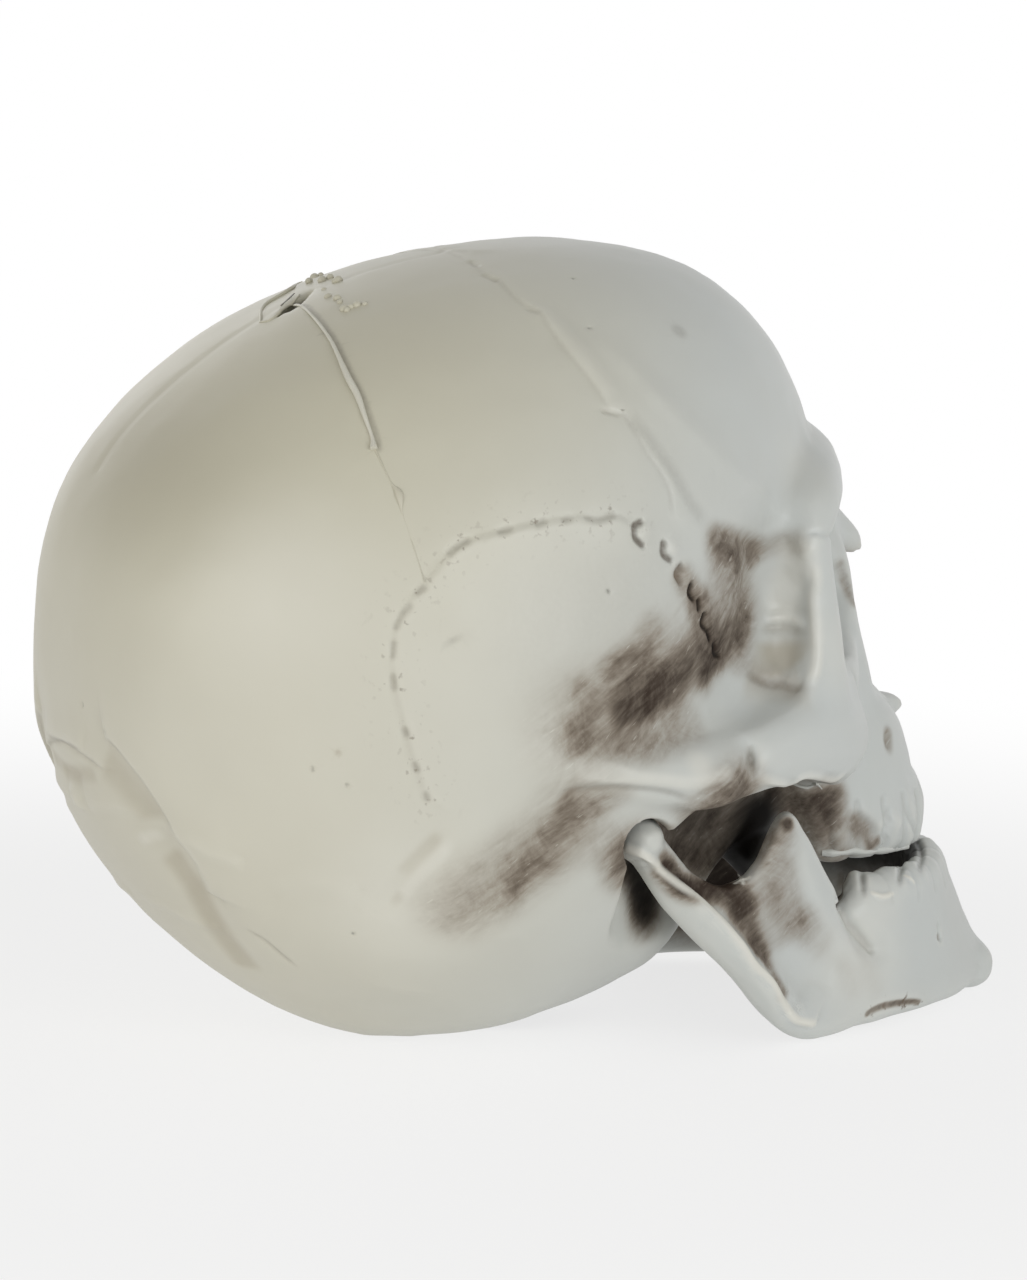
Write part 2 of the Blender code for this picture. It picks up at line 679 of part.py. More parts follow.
def make_eye(name, side, centre_z, way, shank, mat):
    """A screw eye: a ring standing in the X-Z plane with a shank along X, in one piece."""
    centre = Vector((side * spring_x(), SPRING_Y, centre_z))
    ring = []
    for k in range(16):
        a = 2 * pi * k / 16
        ring.append(centre + EYE_RADIUS * Vector((cos(a), 0, sin(a))))
    eye = tube(name, ring, EYE_WIRE, 1, cyclic=True)
    start = centre + Vector((side * way * EYE_RADIUS, 0, 0))
    end = start + Vector((side * way * shank, 0, 0))
    stem = tube(name + "_stem", [start, start.lerp(end, 0.5), end], EYE_WIRE * 0.94, 2)
    join = eye.modifiers.new("Stem", "BOOLEAN")
    join.operation = "UNION"
    join.solver = "EXACT"
    join.object = stem
    settle(eye)
    bpy.data.objects.remove(stem)
    return finish(eye, mat)


def spring_path():
    """Centre line of the spring at x = 0: hook, coil and hook, from the top down."""
    reach = EYE_WIRE / 2 + SPRING_WIRE / 2 + HOOK_GAP
    top_hook = UPPER_EYE_Z - EYE_RADIUS + reach - HOOK_RADIUS
    low_hook = LOWER_EYE_Z + EYE_RADIUS - reach + HOOK_RADIUS
    top_coil = top_hook - HOOK_RADIUS - HOOK_LEAD
    low_coil = low_hook + HOOK_RADIUS + HOOK_LEAD

    def hook(centre_z, up):
        points = []
        for k in range(13):
            a = radians(270) * (1 - k / 12)
            points.append(Vector((0, HOOK_RADIUS * sin(a), centre_z - up * HOOK_RADIUS * cos(a))))
        return points

    def lead_in(coil_z, hook_z, up):
        points = []
        steps = 5
        for k in range(1, steps):
            t = k / steps
            a = radians(-90) - up * pi * t
            r = SPRING_RADIUS * t
            z = hook_z - up * HOOK_RADIUS + (coil_z - hook_z + up * HOOK_RADIUS) * t
            points.append(Vector((r * cos(a), r * sin(a), z)))
        return points

    coil = []
    steps = SPRING_CURLS * CURL_POINTS
    for k in range(steps + 1):
        a = radians(90) - 2 * pi * k / CURL_POINTS
        coil.append(Vector((SPRING_RADIUS * cos(a), SPRING_RADIUS * sin(a),
                            top_coil + (low_coil - top_coil) * k / steps)))
    top = hook(top_hook, 1) + lead_in(top_coil, top_hook, 1)
    bottom = hook(low_hook, -1) + lead_in(low_coil, low_hook, -1)
    return top + coil + bottom[::-1]


def least_gap(points, wire):
    """Least clear distance between stretches of the wire that aren't next to each other."""
    line = np.array([tuple(a.lerp(b, t)) for a, b in zip(points, points[1:]) for t in (0, 0.25, 0.5, 0.75)])
    run = np.concatenate([[0], np.cumsum(np.linalg.norm(np.diff(line, axis=0), axis=1))])
    apart = np.linalg.norm(line[:, None] - line[None], axis=2)
    apart[np.abs(run[:, None] - run[None]) < 5 * wire] = 1.0
    return apart.min() - wire


def make_spring(name, side, mat):
    path = spring_path()
    print(f"{name}: least gap to itself {least_gap(path, SPRING_WIRE) / MM:.2f} mm")
    move = Vector((side * spring_x(), SPRING_Y, 0))
    spring = tube(name, [p + move for p in path], SPRING_WIRE, 1)
    return finish(spring, mat)


def clear_scene():
    for obj in list(bpy.data.objects):
        bpy.data.objects.remove(obj)


def main():
    clear_scene()
    vinyl = material("soft_vinyl", (0.62, 0.60, 0.53), 0.45)
    steel = material("bright_steel", (0.72, 0.72, 0.70), 0.3, 1.0)
    make_cranium(vinyl)
    make_jaw(vinyl)
    for side, word in ((-1, "right"), (1, "left")):
        make_eye(f"cranium_eye_{word}", side, UPPER_EYE_Z, -1, UPPER_SHANK_LENGTH, steel)
        make_eye(f"jaw_eye_{word}", side, LOWER_EYE_Z, 1, LOWER_SHANK_LENGTH, steel)
        make_spring(f"jaw_spring_{word}", side, steel)


main()
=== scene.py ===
"""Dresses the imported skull: fine skins for cranium and jaw, wire parts, casting marks and a pale stage."""
import json
from math import cos, pi, radians, sin

import bmesh
import bpy
import numpy as np
from bpy.props import FloatProperty, FloatVectorProperty, IntProperty, PointerProperty
from mathutils import Matrix, Vector, noise
from mathutils.bvhtree import BVHTree


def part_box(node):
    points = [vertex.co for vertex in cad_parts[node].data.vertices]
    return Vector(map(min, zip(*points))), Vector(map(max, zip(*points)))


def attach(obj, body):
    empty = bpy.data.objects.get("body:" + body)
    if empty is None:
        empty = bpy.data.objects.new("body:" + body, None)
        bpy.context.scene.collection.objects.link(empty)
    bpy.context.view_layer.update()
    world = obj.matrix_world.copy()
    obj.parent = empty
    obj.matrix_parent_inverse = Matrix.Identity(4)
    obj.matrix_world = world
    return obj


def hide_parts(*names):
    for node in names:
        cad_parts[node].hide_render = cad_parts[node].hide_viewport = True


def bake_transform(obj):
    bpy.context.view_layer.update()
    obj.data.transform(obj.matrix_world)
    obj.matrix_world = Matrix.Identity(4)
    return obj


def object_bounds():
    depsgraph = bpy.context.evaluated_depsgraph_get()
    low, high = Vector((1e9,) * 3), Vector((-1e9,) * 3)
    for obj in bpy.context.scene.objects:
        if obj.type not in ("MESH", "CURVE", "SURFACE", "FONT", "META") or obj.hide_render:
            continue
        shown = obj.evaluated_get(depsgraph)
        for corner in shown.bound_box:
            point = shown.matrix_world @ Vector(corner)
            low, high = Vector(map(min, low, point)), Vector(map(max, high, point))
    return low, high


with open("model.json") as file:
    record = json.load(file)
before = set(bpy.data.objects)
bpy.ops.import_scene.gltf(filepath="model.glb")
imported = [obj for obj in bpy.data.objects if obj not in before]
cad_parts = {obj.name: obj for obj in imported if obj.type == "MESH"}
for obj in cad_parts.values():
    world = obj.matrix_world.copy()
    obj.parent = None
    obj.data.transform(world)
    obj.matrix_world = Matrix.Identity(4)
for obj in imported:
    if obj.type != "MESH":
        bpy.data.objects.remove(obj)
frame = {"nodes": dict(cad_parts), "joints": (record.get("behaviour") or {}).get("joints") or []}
CAD_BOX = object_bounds()

bl_info = {
    "name": "Moulded Skull",
    "version": (1, 0, 0),
    "blender": (4, 5, 0),
    "location": "View3D > Sidebar > Skull",
    "description": "Dresses a moulded skull with a sprung jaw and sets it on a pale stage",
    "category": "Object",
}

MM = 0.001

# The photograph's size in pixels and the camera that took it
PHOTO_WIDTH, PHOTO_HEIGHT = 1027, 1280
CAMERA_AZIMUTH = radians(-115.0)
CAMERA_ELEVATION = radians(8.0)
CAMERA_ROLL = radians(0.8)
CAMERA_TARGET = Vector((-0.0032, -0.0333, 0.0799))
CAMERA_DISTANCE = 1.1
PIXELS_PER_MM = 4.84
FOCAL_PIXELS = PIXELS_PER_MM * CAMERA_DISTANCE / MM
SENSOR_HEIGHT = 36.0

# The jaw's hinge runs through its two seats. The fine relief stops at a margin round them
# and comes in over the next stretch.
HINGE = frame["joints"][0]["pos_m"]
SEAT = np.array((52 * MM, HINGE[1], HINGE[2]))
SEAT_MARGIN = 12 * MM
SEAT_EASE = 10 * MM
# The egg that opens a seat to the side: its middle from the seat's, its radii and its tilt
SEAT_OPENING_PLACE = Vector((9, -0.5, -2.2)) * MM
SEAT_OPENING_RADII = (8.5 * MM, 10 * MM, 6.2 * MM)
SEAT_OPENING_TILT = radians(41)
# A bend of this radius counts as a full crease
CREASE_RADIUS = 1.2 * MM
# Steps along a run of pixels: for long lines, washes, the jaw's lines and short dashes
LONG_STEP = 7
WASH_STEP = 4
JAW_STEP = 3
DASH_STEP = 2

CAMERA_TURN = (Matrix.Rotation(CAMERA_AZIMUTH, 3, "Z") @ Matrix.Rotation(pi / 2 - CAMERA_ELEVATION, 3, "X")
               @ Matrix.Rotation(CAMERA_ROLL, 3, "Z"))
CAMERA_PLACE = CAMERA_TARGET + CAMERA_TURN @ Vector((0, 0, CAMERA_DISTANCE))

# Lines and marks of the casting's right side, in pixels of the photograph. The same marks
# are made on the left side, apart from the crown's, the specks and the two spots.
CORONAL_SUTURE = ((433, 247), (453, 253), (473, 262), (483, 273), (497, 280), (507, 290), (523, 305), (537, 312),
                  (550, 330), (567, 353), (587, 377), (603, 400), (610, 412), (623, 415), (633, 430), (650, 457),
                  (663, 477), (670, 493), (673, 517))
CORONAL_ROLL = ((531, 307), (557, 327), (580, 352), (600, 378), (617, 400))
CORONAL_NICKS = (((470, 261), (477, 265)), ((484, 274), (496, 280)), ((530, 310), (537, 313)),
                 ((604, 410), (616, 414)))
SQUAMOUS_SUTURE = ((427, 796), (416, 767), (406, 732), (398, 700), (393, 670), (394, 645), (400, 618), (410, 602),
                   (422, 588), (436, 570), (450, 553), (470, 541), (505, 531), (542, 523), (567, 519), (600, 517),
                   (620, 518), (633, 527))
SQUAMOUS_DASHES = (((396, 627), (403, 614), (410, 606)), ((393, 656), (394, 644)), ((394, 688), (393, 677)),
                   ((405, 730), (407, 735)), ((415, 765), (417, 770)), ((426, 794), (427, 798)),
                   ((418, 592), (424, 588)), ((450, 553), (459, 546), (468, 541)), ((501, 532), (510, 529)),
                   ((538, 524), (545, 521)), ((565, 520), (571, 518)), ((588, 518), (600, 520), (614, 515)))
PLATE_CENTRE = (520, 660)
SCALES = (((641, 522), (634, 527), (635, 538), (642, 545)), ((664, 543), (664, 554), (671, 560)),
          ((682, 566), (677, 574), (681, 583)), ((692, 584), (690, 594), (694, 600)), ((699, 600), (700, 610)),
          ((705, 614), (703, 624), (707, 630)), ((709, 632), (712, 641)), ((715, 645), (716, 654), (721, 658)))
SCALE_LOBES = ((645, 531), (673, 548), (689, 574), (700, 591), (707, 606), (712, 621), (719, 637))
TEMPLE_LINE = ((442, 647), (453, 641), (465, 635))
TEMPORAL_LINES = (((617, 357), (657, 390), (700, 430), (745, 478), (790, 522)),
                  ((625, 412), (650, 440), (673, 472), (690, 500), (706, 523)),
                  ((640, 385), (668, 410), (700, 442), (735, 480)))
TEMPLE_CREASE = ((716, 536), (728, 532), (745, 541), (762, 552), (778, 545), (799, 543))
TEMPLE_NOTCHES = ((733, 558), (757, 559))
FOSSA_CREASE = ((745, 672), (765, 684), (790, 690), (808, 686))
FOSSA_PIT = ((677, 676), (683, 672))
ORBIT_KNOB = ((805, 545), (812, 556))
ORBIT_RIM = ((812, 560), (816, 580), (813, 602), (816, 637), (817, 665), (808, 685))
ORBIT_FACET = ((797, 556), (790, 580), (784, 604))
ORBIT_LEDGE = ((763, 620), (785, 617), (808, 624))
ORBIT_UNDER_LEDGE = ((760, 629), (784, 627), (806, 634))
ORBIT_BEIGE = ((778, 640), (780, 660), (790, 675))
ORBIT_FOOT = ((762, 668), (780, 680), (800, 686))
CHEEK_NOTCH = ((750, 743), (752, 757), (755, 777))
CHEEK_LIP = ((755, 777), (770, 781), (787, 783), (806, 775), (830, 779), (845, 773))
ARCH_RIDGE = ((575, 771), (620, 776), (660, 780), (700, 782), (735, 768))
ARCH_FOOT = ((560, 795), (600, 789), (650, 790), (690, 800))
EAR_HOLLOW = ((470, 905), (495, 885), (520, 865), (545, 845), (580, 820))
MASTOID_GROOVE = ((443, 833), (428, 847), (413, 863), (399, 876))
MASTOID_GROOVE_LOW = ((403, 890), (396, 900), (392, 908))
MASTOID_RIDGE = ((450, 838), (440, 857), (425, 871), (410, 887), (400, 902))
OCCIPUT_CREASE = ((50, 735), (63, 740), (87, 757), (102, 768))
OCCIPUT_FOLD = ((107, 737), (120, 750), (143, 780), (163, 810), (180, 837), (197, 862), (210, 890))
OCCIPUT_PLATE = (250, 730)
OCCIPUT_HOLLOW = ((103, 758), (125, 783), (145, 806), (155, 822))
OCCIPUT_SMUDGE = ((63, 772), (97, 775))
OCCIPUT_KNOLL = ((137, 842), (152, 835), (168, 834))
OCCIPUT_VALLEY = ((167, 850), (193, 883), (207, 910), (227, 940), (250, 970))
OCCIPUT_LINE = ((247, 927), (273, 947), (297, 968))
NECK_ROLL = ((273, 890), (320, 883), (360, 897))
NECK_SCRATCHES = (((227, 850), (250, 860)), ((355, 884), (368, 897)), ((352, 905), (362, 915)),
                  ((372, 908), (378, 917)))
SPINE_PIT = ((887, 728), (889, 742), (890, 752))
MAXILLA_PIT = ((850, 822), (866, 823), (874, 834), (856, 838))
ROOT_GROOVES = (((893, 805), (888, 815), (890, 832)), ((905, 803), (910, 815), (917, 835)),
                ((850, 828), (857, 845)))
ROOT_LUMPS = ((899, 822), (840, 838), (880, 826))
NASAL_EDGE = ((841, 563), (846, 582), (853, 602))
CROWN_SLIT_HOLE = ((281, 305), (288, 299), (294, 293))
CROWN_SLIT_UPPER_LIP = ((260, 322), (263, 306), (283, 293), (302, 280))
CROWN_SLIT_LOWER_LIP = ((260, 322), (270, 320), (281, 311), (293, 303), (299, 294), (303, 282))
CROWN_FLASH = ((290, 305), (302, 307), (312, 316), (322, 328), (332, 343), (340, 360), (348, 378), (358, 397),
               (365, 417), (372, 437), (374, 449))
CROWN_FLASH_WIDTHS = (2.2, 3, 3, 3.2, 3.6, 4.6, 6.4, 6.4, 4.6, 3.6, 7.5)
CROWN_THREAD = ((375, 449), (384, 468), (392, 484), (399, 494), (402, 512), (408, 530), (425, 582))
CROWN_THREAD_WIDTHS = (1.6, 1.6, 2.4, 9, 2.4, 1.4, 0.8)
CROWN_PIMPLES = ((309, 281), (314, 276), (320, 273), (322, 280), (330, 277), (335, 281), (338, 280), (324, 290),
                 (328, 297), (337, 298), (340, 302), (344, 309), (347, 310), (351, 307), (357, 305), (365, 304))
FOREHEAD_SPOT = (680, 330)
SPECKS = ((573, 278), (609, 591), (347, 786), (353, 933), (82, 705), (312, 769), (590, 327))
BEIGE_SPOT = (338, 753)

# Washes of brown paint: the run of pixels, its radius in millimetres and its strength
FOSSA_WASHES = ((((575, 725), (625, 700), (690, 655), (735, 600)), 11.0, 0.34),
                (((596, 718), (622, 712), (650, 700), (672, 690)), 5.5, 0.50),
                (((640, 686), (668, 676), (690, 660), (718, 640)), 6.0, 0.62),
                (((622, 712), (640, 708), (650, 702)), 2.8, 0.9),
                (((658, 690), (672, 674), (684, 668)), 2.8, 0.9),
                (((708, 668), (722, 648), (738, 626)), 4.6, 0.8),
                (((612, 672), (640, 650), (652, 628)), 3.4, 0.4),
                (((684, 578), (698, 606), (712, 640), (722, 660)), 3.0, 0.45),
                (((585, 690), (592, 735)), 3.0, 0.3),
                (((577, 738), (610, 742), (650, 745), (690, 728)), 4.0, 0.4),
                (((735, 640), (742, 610), (736, 585), (726, 560)), 5.5, 0.45),
                (((700, 600), (715, 612)), 3.0, 0.4),
                (((716, 540), (730, 545), (752, 552)), 3.4, 0.6),
                (((752, 552), (772, 546), (796, 543)), 2.8, 0.36))
# Washes in shaded places, under the orbit's facet, in the ear's hollow and on the wall behind the jaw's branch:
# partly the casting's brown paint, partly painted shade
SHADE_WASHES = ((((740, 662), (765, 680), (795, 690)), 3.0, 0.26),
                (((462, 905), (500, 882), (535, 855), (570, 825)), 9.0, 0.5),
                (((560, 826), (585, 806), (620, 797)), 3.6, 0.26),
                (((500, 895), (525, 876), (545, 860)), 4.0, 0.3),
                (((628, 852), (636, 880), (644, 906)), 6.5, 0.8))
# Washes in the bay between the jaw and the cranium: brown paint with painted shade; the last ones are paint in the
# pits and along the nose's edge
BAY_WASHES = ((((700, 858), (720, 862), (738, 868)), 5.0, 0.8),
              (((672, 852), (690, 830), (712, 812), (735, 800)), 7.5, 0.85),
              (((775, 795), (800, 805), (825, 815)), 5.0, 0.8),
              (((800, 830), (815, 848), (840, 858)), 5.0, 0.5),
              (((820, 800), (836, 794)), 3.0, 0.6),
              (((857, 824), (868, 832)), 2.6, 0.55),
              (((878, 842), (871, 846)), 1.3, 0.75),
              (((889, 733), (890, 746)), 1.6, 0.5),
              (((840, 565), (846, 585), (853, 602)), 1.4, 0.5))
# Runs of painted shadow: the bay's dark core and the shadow on the wall behind the jaw's branch
BAY_CORE = ((758, 815), (745, 840), (736, 862))
BEHIND_RAMUS = ((636, 864), (641, 886), (646, 904))
# Broad faint patches: the stain, the pixel in its middle, its radius in millimetres and its strength. The line
# patches are painted shade in the temple's hollow, the pale ones painted highlights on the lit skin, and the last
# one the beige of the orbit's facet.
CRANIUM_PATCHES = (("line", (560, 620), 12, 0.09), ("line", (640, 590), 9, 0.07), ("pale", (290, 590), 14, 0.32),
                   ("pale", (400, 900), 12, 0.34), ("pale", (840, 650), 6, 0.26), ("pale", (700, 765), 2.4, 0.5),
                   ("pale", (800, 470), 6, 0.22), ("warmth", (785, 650), 4, 0.35))
# painted highlights on the lit side of the jaw and its teeth
JAW_PATCHES = (("pale", (860, 960), 10, 0.38), ("pale", (880, 900), 5, 0.2))

JAW_RIDGE = ((623, 845), (640, 851), (652, 859), (658, 868), (669, 877), (690, 892), (711, 910), (723, 922),
             (741, 944), (755, 965), (772, 983), (784, 1004), (796, 1019), (814, 1024))
JAW_REAR_FACE = (690, 930)
CONDYLE_NICK = ((658, 820), (662, 828))
CORONOID_NICK = (788, 824)
JAW_WASHES = ((((667, 868), (685, 884), (705, 890), (728, 888)), 3.2, 1.0),
              (((715, 885), (735, 892), (745, 905)), 3.4, 0.9),
              (((735, 900), (745, 925), (758, 950)), 3.0, 0.75),
              (((755, 945), (770, 968), (782, 990)), 2.0, 0.6),
              (((744, 872), (760, 852), (774, 835)), 3.6, 0.55),
              (((785, 838), (783, 870), (788, 900), (800, 925)), 4.0, 0.40),
              (((762, 880), (770, 905), (778, 935)), 3.4, 0.34),
              (((808, 925), (820, 942)), 4.0, 0.26),
              (((842, 965), (852, 985)), 3.0, 0.2),
              (((862, 955), (875, 985)), 3.0, 0.16))
MOLAR_EDGE = ((843, 874), (838, 888), (839, 904), (847, 922), (860, 938), (875, 954))
MOLAR_CROWNS = ((851, 879), (874, 870), (889, 869), (908, 862), (926, 850))
MOLAR_GAPS = (((861, 873), (861, 885), (864, 902)), ((899, 861), (901, 873), (899, 892)),
              ((917, 851), (921, 864), (919, 880)))
MOLAR_SCARS = (((872, 901), (882, 904), (893, 901)), ((905, 885), (914, 890)))
WHITE_NICKS = (((735, 883), (742, 880), (749, 877)), ((740, 876), (743, 883)))
MENTAL_HOLE = (940, 937)
MENTAL_LINE = ((938, 920), (940, 936))
JAW_SCAR = ((868, 1014), (885, 1006), (905, 1003), (919, 1003))
JAW_FLASH = ((712, 962), (707, 955))
GUM_FRINGE = ((822, 853), (833, 854), (845, 853), (854, 852), (863, 853), (874, 852), (885, 851), (897, 850),
              (908, 847))
CHEEK_FLASH = ((789, 782), (798, 786), (808, 788), (816, 784), (822, 789))


def photo_ray(x, y):
    """Direction from the camera through a pixel of the photograph."""
    return (CAMERA_TURN @ Vector((x - PHOTO_WIDTH / 2, PHOTO_HEIGHT / 2 - y, -FOCAL_PIXELS))).normalized()


def curve_through(points, step):
    """Points about a step apart on a smooth curve through the points, of any number of dimensions."""
    points = np.array(points, dtype=float)
    padded = np.concatenate([[2 * points[0] - points[1]], points, [2 * points[-1] - points[-2]]])
    curve = []
    for a, b, c, d in zip(padded, padded[1:], padded[2:], padded[3:]):
        count = max(1, round(np.linalg.norm(c - b) / step))
        for t in np.arange(count) / count:
            curve.append(0.5 * (2 * b + (c - a) * t + (2 * a - 5 * b + 4 * c - d) * t ** 2
                                + (3 * b - a - 3 * c + d) * t ** 3))
    return np.array(curve + [points[-1]])


class Surface:
    """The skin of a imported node, on which marks of the photograph are laid."""

    def __init__(self, node):
        bm = bmesh.new()
        bm.from_mesh(frame["nodes"][node].data)
        bmesh.ops.remove_doubles(bm, verts=bm.verts, dist=1e-6)
        bm.normal_update()
        self.tree = BVHTree.FromBMesh(bm)
        bm.free()

    def at_pixel(self, x, y):
        """Place and normal on the skin under a pixel, or the nearest to its ray where it misses."""
        ray = photo_ray(x, y)
        place, normal, _, _ = self.tree.ray_cast(CAMERA_PLACE, ray)
        if place is None:
            place, normal, _, _ = self.tree.find_nearest(CAMERA_PLACE + ray * CAMERA_DISTANCE)
        return place, normal

    def path(self, places, step=1.0):
        """The run of places, in millimetres, laid on the nearest skin."""
        return Line([self.tree.find_nearest(Vector(place) * MM)[:2] for place in curve_through(places, step)])

    def line(self, pixels, step=LONG_STEP):
        """The run of pixels laid on the skin."""
        return Line([self.at_pixel(*pixel) for pixel in curve_through(pixels, step)])

    def dot(self, pixel):
        """One pixel laid on the skin, as a line without length."""
        return Line([self.at_pixel(*pixel)] * 2)


class Line:
    """A line of places on a skin, with the skin's normals there."""

    def __init__(self, marks):
        self.places = np.array([tuple(place) for place, _ in marks])
        self.normals = np.array([tuple(normal) for _, normal in marks])
        spans = np.linalg.norm(np.diff(self.places, axis=0), axis=1)
        self.runs = np.concatenate([[0.0], np.cumsum(spans)])
        self.length = self.runs[-1]

    def mirrored(self):
        """The same line on the skull's other side."""
        flip = Vector((-1, 1, 1))
        marks = [(Vector(p) * flip, Vector(n) * flip) for p, n in zip(self.places, self.normals)]
        return Line(marks)

    def near(self, points, reach):
        """Indices of the points inside the line's box grown by the reach."""
        low, high = self.places.min(0) - reach, self.places.max(0) + reach
        return np.flatnonzero(((points > low) & (points < high)).all(1))

    def measure(self, points):
        """Distance to the line, run along it, and its place and normal there, for each point."""
        best = np.full(len(points), 1.0)
        run = np.zeros(len(points))
        foot = np.zeros((len(points), 3))
        normal = np.zeros((len(points), 3))
        for i, (a, b) in enumerate(zip(self.places, self.places[1:])):
            span = b - a
            square = max(span @ span, 1e-12)
            t = np.clip(((points - a) @ span) / square, 0, 1)
            place = a + t[:, None] * span
            distance = np.linalg.norm(points - place, axis=1)
            closer = distance < best
            best[closer] = distance[closer]
            run[closer] = self.runs[i] + t[closer] * square ** 0.5
            foot[closer] = place[closer]
            normal[closer] = self.normals[i]
        return best, run, foot, normal


class Clay:
    """A mesh's vertices as arrays, to be pressed and stained along lines."""

    def __init__(self, mesh):
        self.mesh = mesh
        self.count = len(mesh.vertices)
        self.points = self.read("co")
        self.normals = self.read("normal")
        self.stains = {}

    def read(self, what):
        """The vertices' places or normals, one row each."""
        values = np.empty(self.count * 3)
        self.mesh.vertices.foreach_get(what, values)
        return values.reshape(-1, 3)

    def reached(self, line, reach):
        """The vertices near a line, with their measures; those of the wall's other side don't count."""
        some = line.near(self.points, reach)
        distance, run, foot, normal = line.measure(self.points[some])
        facing = np.clip((self.normals[some] * normal).sum(1) * 1.5 + 1, 0, 1)
        return some, distance, run, foot, facing

    def press(self, line, radius, height, fade=0.0):
        """Raises or sinks the skin along a line; a fade tapers its ends."""
        some, distance, run, _, facing = self.reached(line, radius * 3)
        amount = height * np.exp(-(distance / radius) ** 2) * facing
        if fade:
            amount *= np.clip(np.minimum(run, line.length - run) / fade + 0.1, 0, 1)
        self.points[some] += self.normals[some] * amount[:, None]

    def terrace(self, line, centre, radius, height, width):
        """Raises the skin on the centre's side of a line by a small step that fades over the width."""
        some, distance, _, foot, facing = self.reached(line, width * 2)
        inward = np.array(centre) - foot
        inward /= np.linalg.norm(inward, axis=1)[:, None]
        side = ((self.points[some] - foot) * inward).sum(1)
        amount = height * np.clip(side / radius + 0.5, 0, 1) * np.exp(-(distance / width) ** 2) * facing
        self.points[some] += self.normals[some] * amount[:, None]

    def stain(self, name, line, radius, amount, soft=1.0, fade=0.0):
        """Lays a stain along a line: full inside the radius and gone past the soft edge."""
        values = self.stains.setdefault(name, np.zeros(self.count))
        reach = radius * (1 + soft)
        some, distance, run, _, facing = self.reached(line, reach * 1.1)
        t = np.clip((reach - distance) / (reach - radius * 0.4), 0, 1)
        level = amount * t * t * (3 - 2 * t) * facing
        if fade:
            level *= np.clip(np.minimum(run, line.length - run) / fade + 0.1, 0, 1)
        # stains that cross add up like thin paint
        values[some] = 1 - (1 - values[some]) * (1 - np.minimum(level, 1))

    def pool(self, name, centre, radii, amount, facing=None):
        """Stains a soft egg-shaped region, on the skin that faces a given way if one is given."""
        values = self.stains.setdefault(name, np.zeros(self.count))
        reach = (((self.points - centre) / radii) ** 2).sum(1)
        level = amount * np.clip(1.4 - reach, 0, 1)
        if facing is not None:
            level *= np.clip(self.normals @ np.array(facing) * 2 + 0.6, 0, 1)
        np.maximum(values, level, out=values)

    def ripple(self, size, height, where):
        """Waves of a size and a height in the skin, weaker where the given share is low."""
        some = np.flatnonzero(where > 0)
        waves = np.array([noise.noise(Vector(place)) for place in self.points[some] / size])
        self.points[some] += self.normals[some] * (waves * height * where[some])[:, None]

    def creases(self, rounds=3):
        """How hollow the skin is at each vertex: 1 in a full crease, -1 on an edge as sharp."""
        ends = np.empty(len(self.mesh.edges) * 2, dtype=np.int64)
        self.mesh.edges.foreach_get("vertices", ends)
        first, second = ends[::2], ends[1::2]
        degree = np.bincount(ends, minlength=self.count)
        points = self.read("co")

        def spread(values):
            total = np.bincount(first, values[second], self.count) + np.bincount(second, values[first], self.count)
            return total / degree

        middle = np.stack([spread(points[:, axis]) for axis in range(3)], axis=1)
        depth = ((middle - points) * self.read("normal")).sum(1)
        for _ in range(rounds):
            depth = spread(depth)
        edge = np.linalg.norm(points[first] - points[second], axis=1).mean()
        return np.clip(4 * depth / edge ** 2 * CREASE_RADIUS, -1, 1)

    def marked(self):
        """How much each vertex is worth keeping: 1 where a stain changes fast, 0 on blank skin."""
        ends = np.empty(len(self.mesh.edges) * 2, dtype=np.int64)
        self.mesh.edges.foreach_get("vertices", ends)
        worth = np.zeros(self.count)
        for values in self.stains.values():
            change = np.abs(values[ends[::2]] - values[ends[1::2]])
            np.maximum.at(worth, ends[::2], change)
            np.maximum.at(worth, ends[1::2], change)
        return np.clip(worth * 4, 0, 1)

    def settle(self):
        """Writes the places and stains back to the mesh."""
        self.mesh.vertices.foreach_set("co", self.points.ravel())
        for name, values in self.stains.items():
            layer = self.mesh.attributes.get(name) or self.mesh.attributes.new(name, "FLOAT", "POINT")
            layer.data.foreach_set("value", values.astype(np.float32))
        self.mesh.update()


class Wire:
    """A shader socket whose arithmetic adds Math nodes."""

    def __init__(self, shader, socket):
        self.shader = shader
        self.socket = socket

    def maths(self, operation, first, second):
        return self.shader.node("ShaderNodeMath", {"operation": operation}, {0: first, 1: second})

    def __add__(self, other):
        return self.maths("ADD", self, other)

    def __sub__(self, other):
        return self.maths("SUBTRACT", self, other)

    def __rsub__(self, other):
        return self.maths("SUBTRACT", other, self)

    def __mul__(self, other):
        return self.maths("MULTIPLY", self, other)

    def __pow__(self, other):
        return self.maths("POWER", self, other)

    def most(self, other):
        return self.maths("MAXIMUM", self, other)

    __radd__ = __add__
    __rmul__ = __mul__

    def clamped(self):
        return self.shader.node("ShaderNodeClamp", {}, {"Value": self})


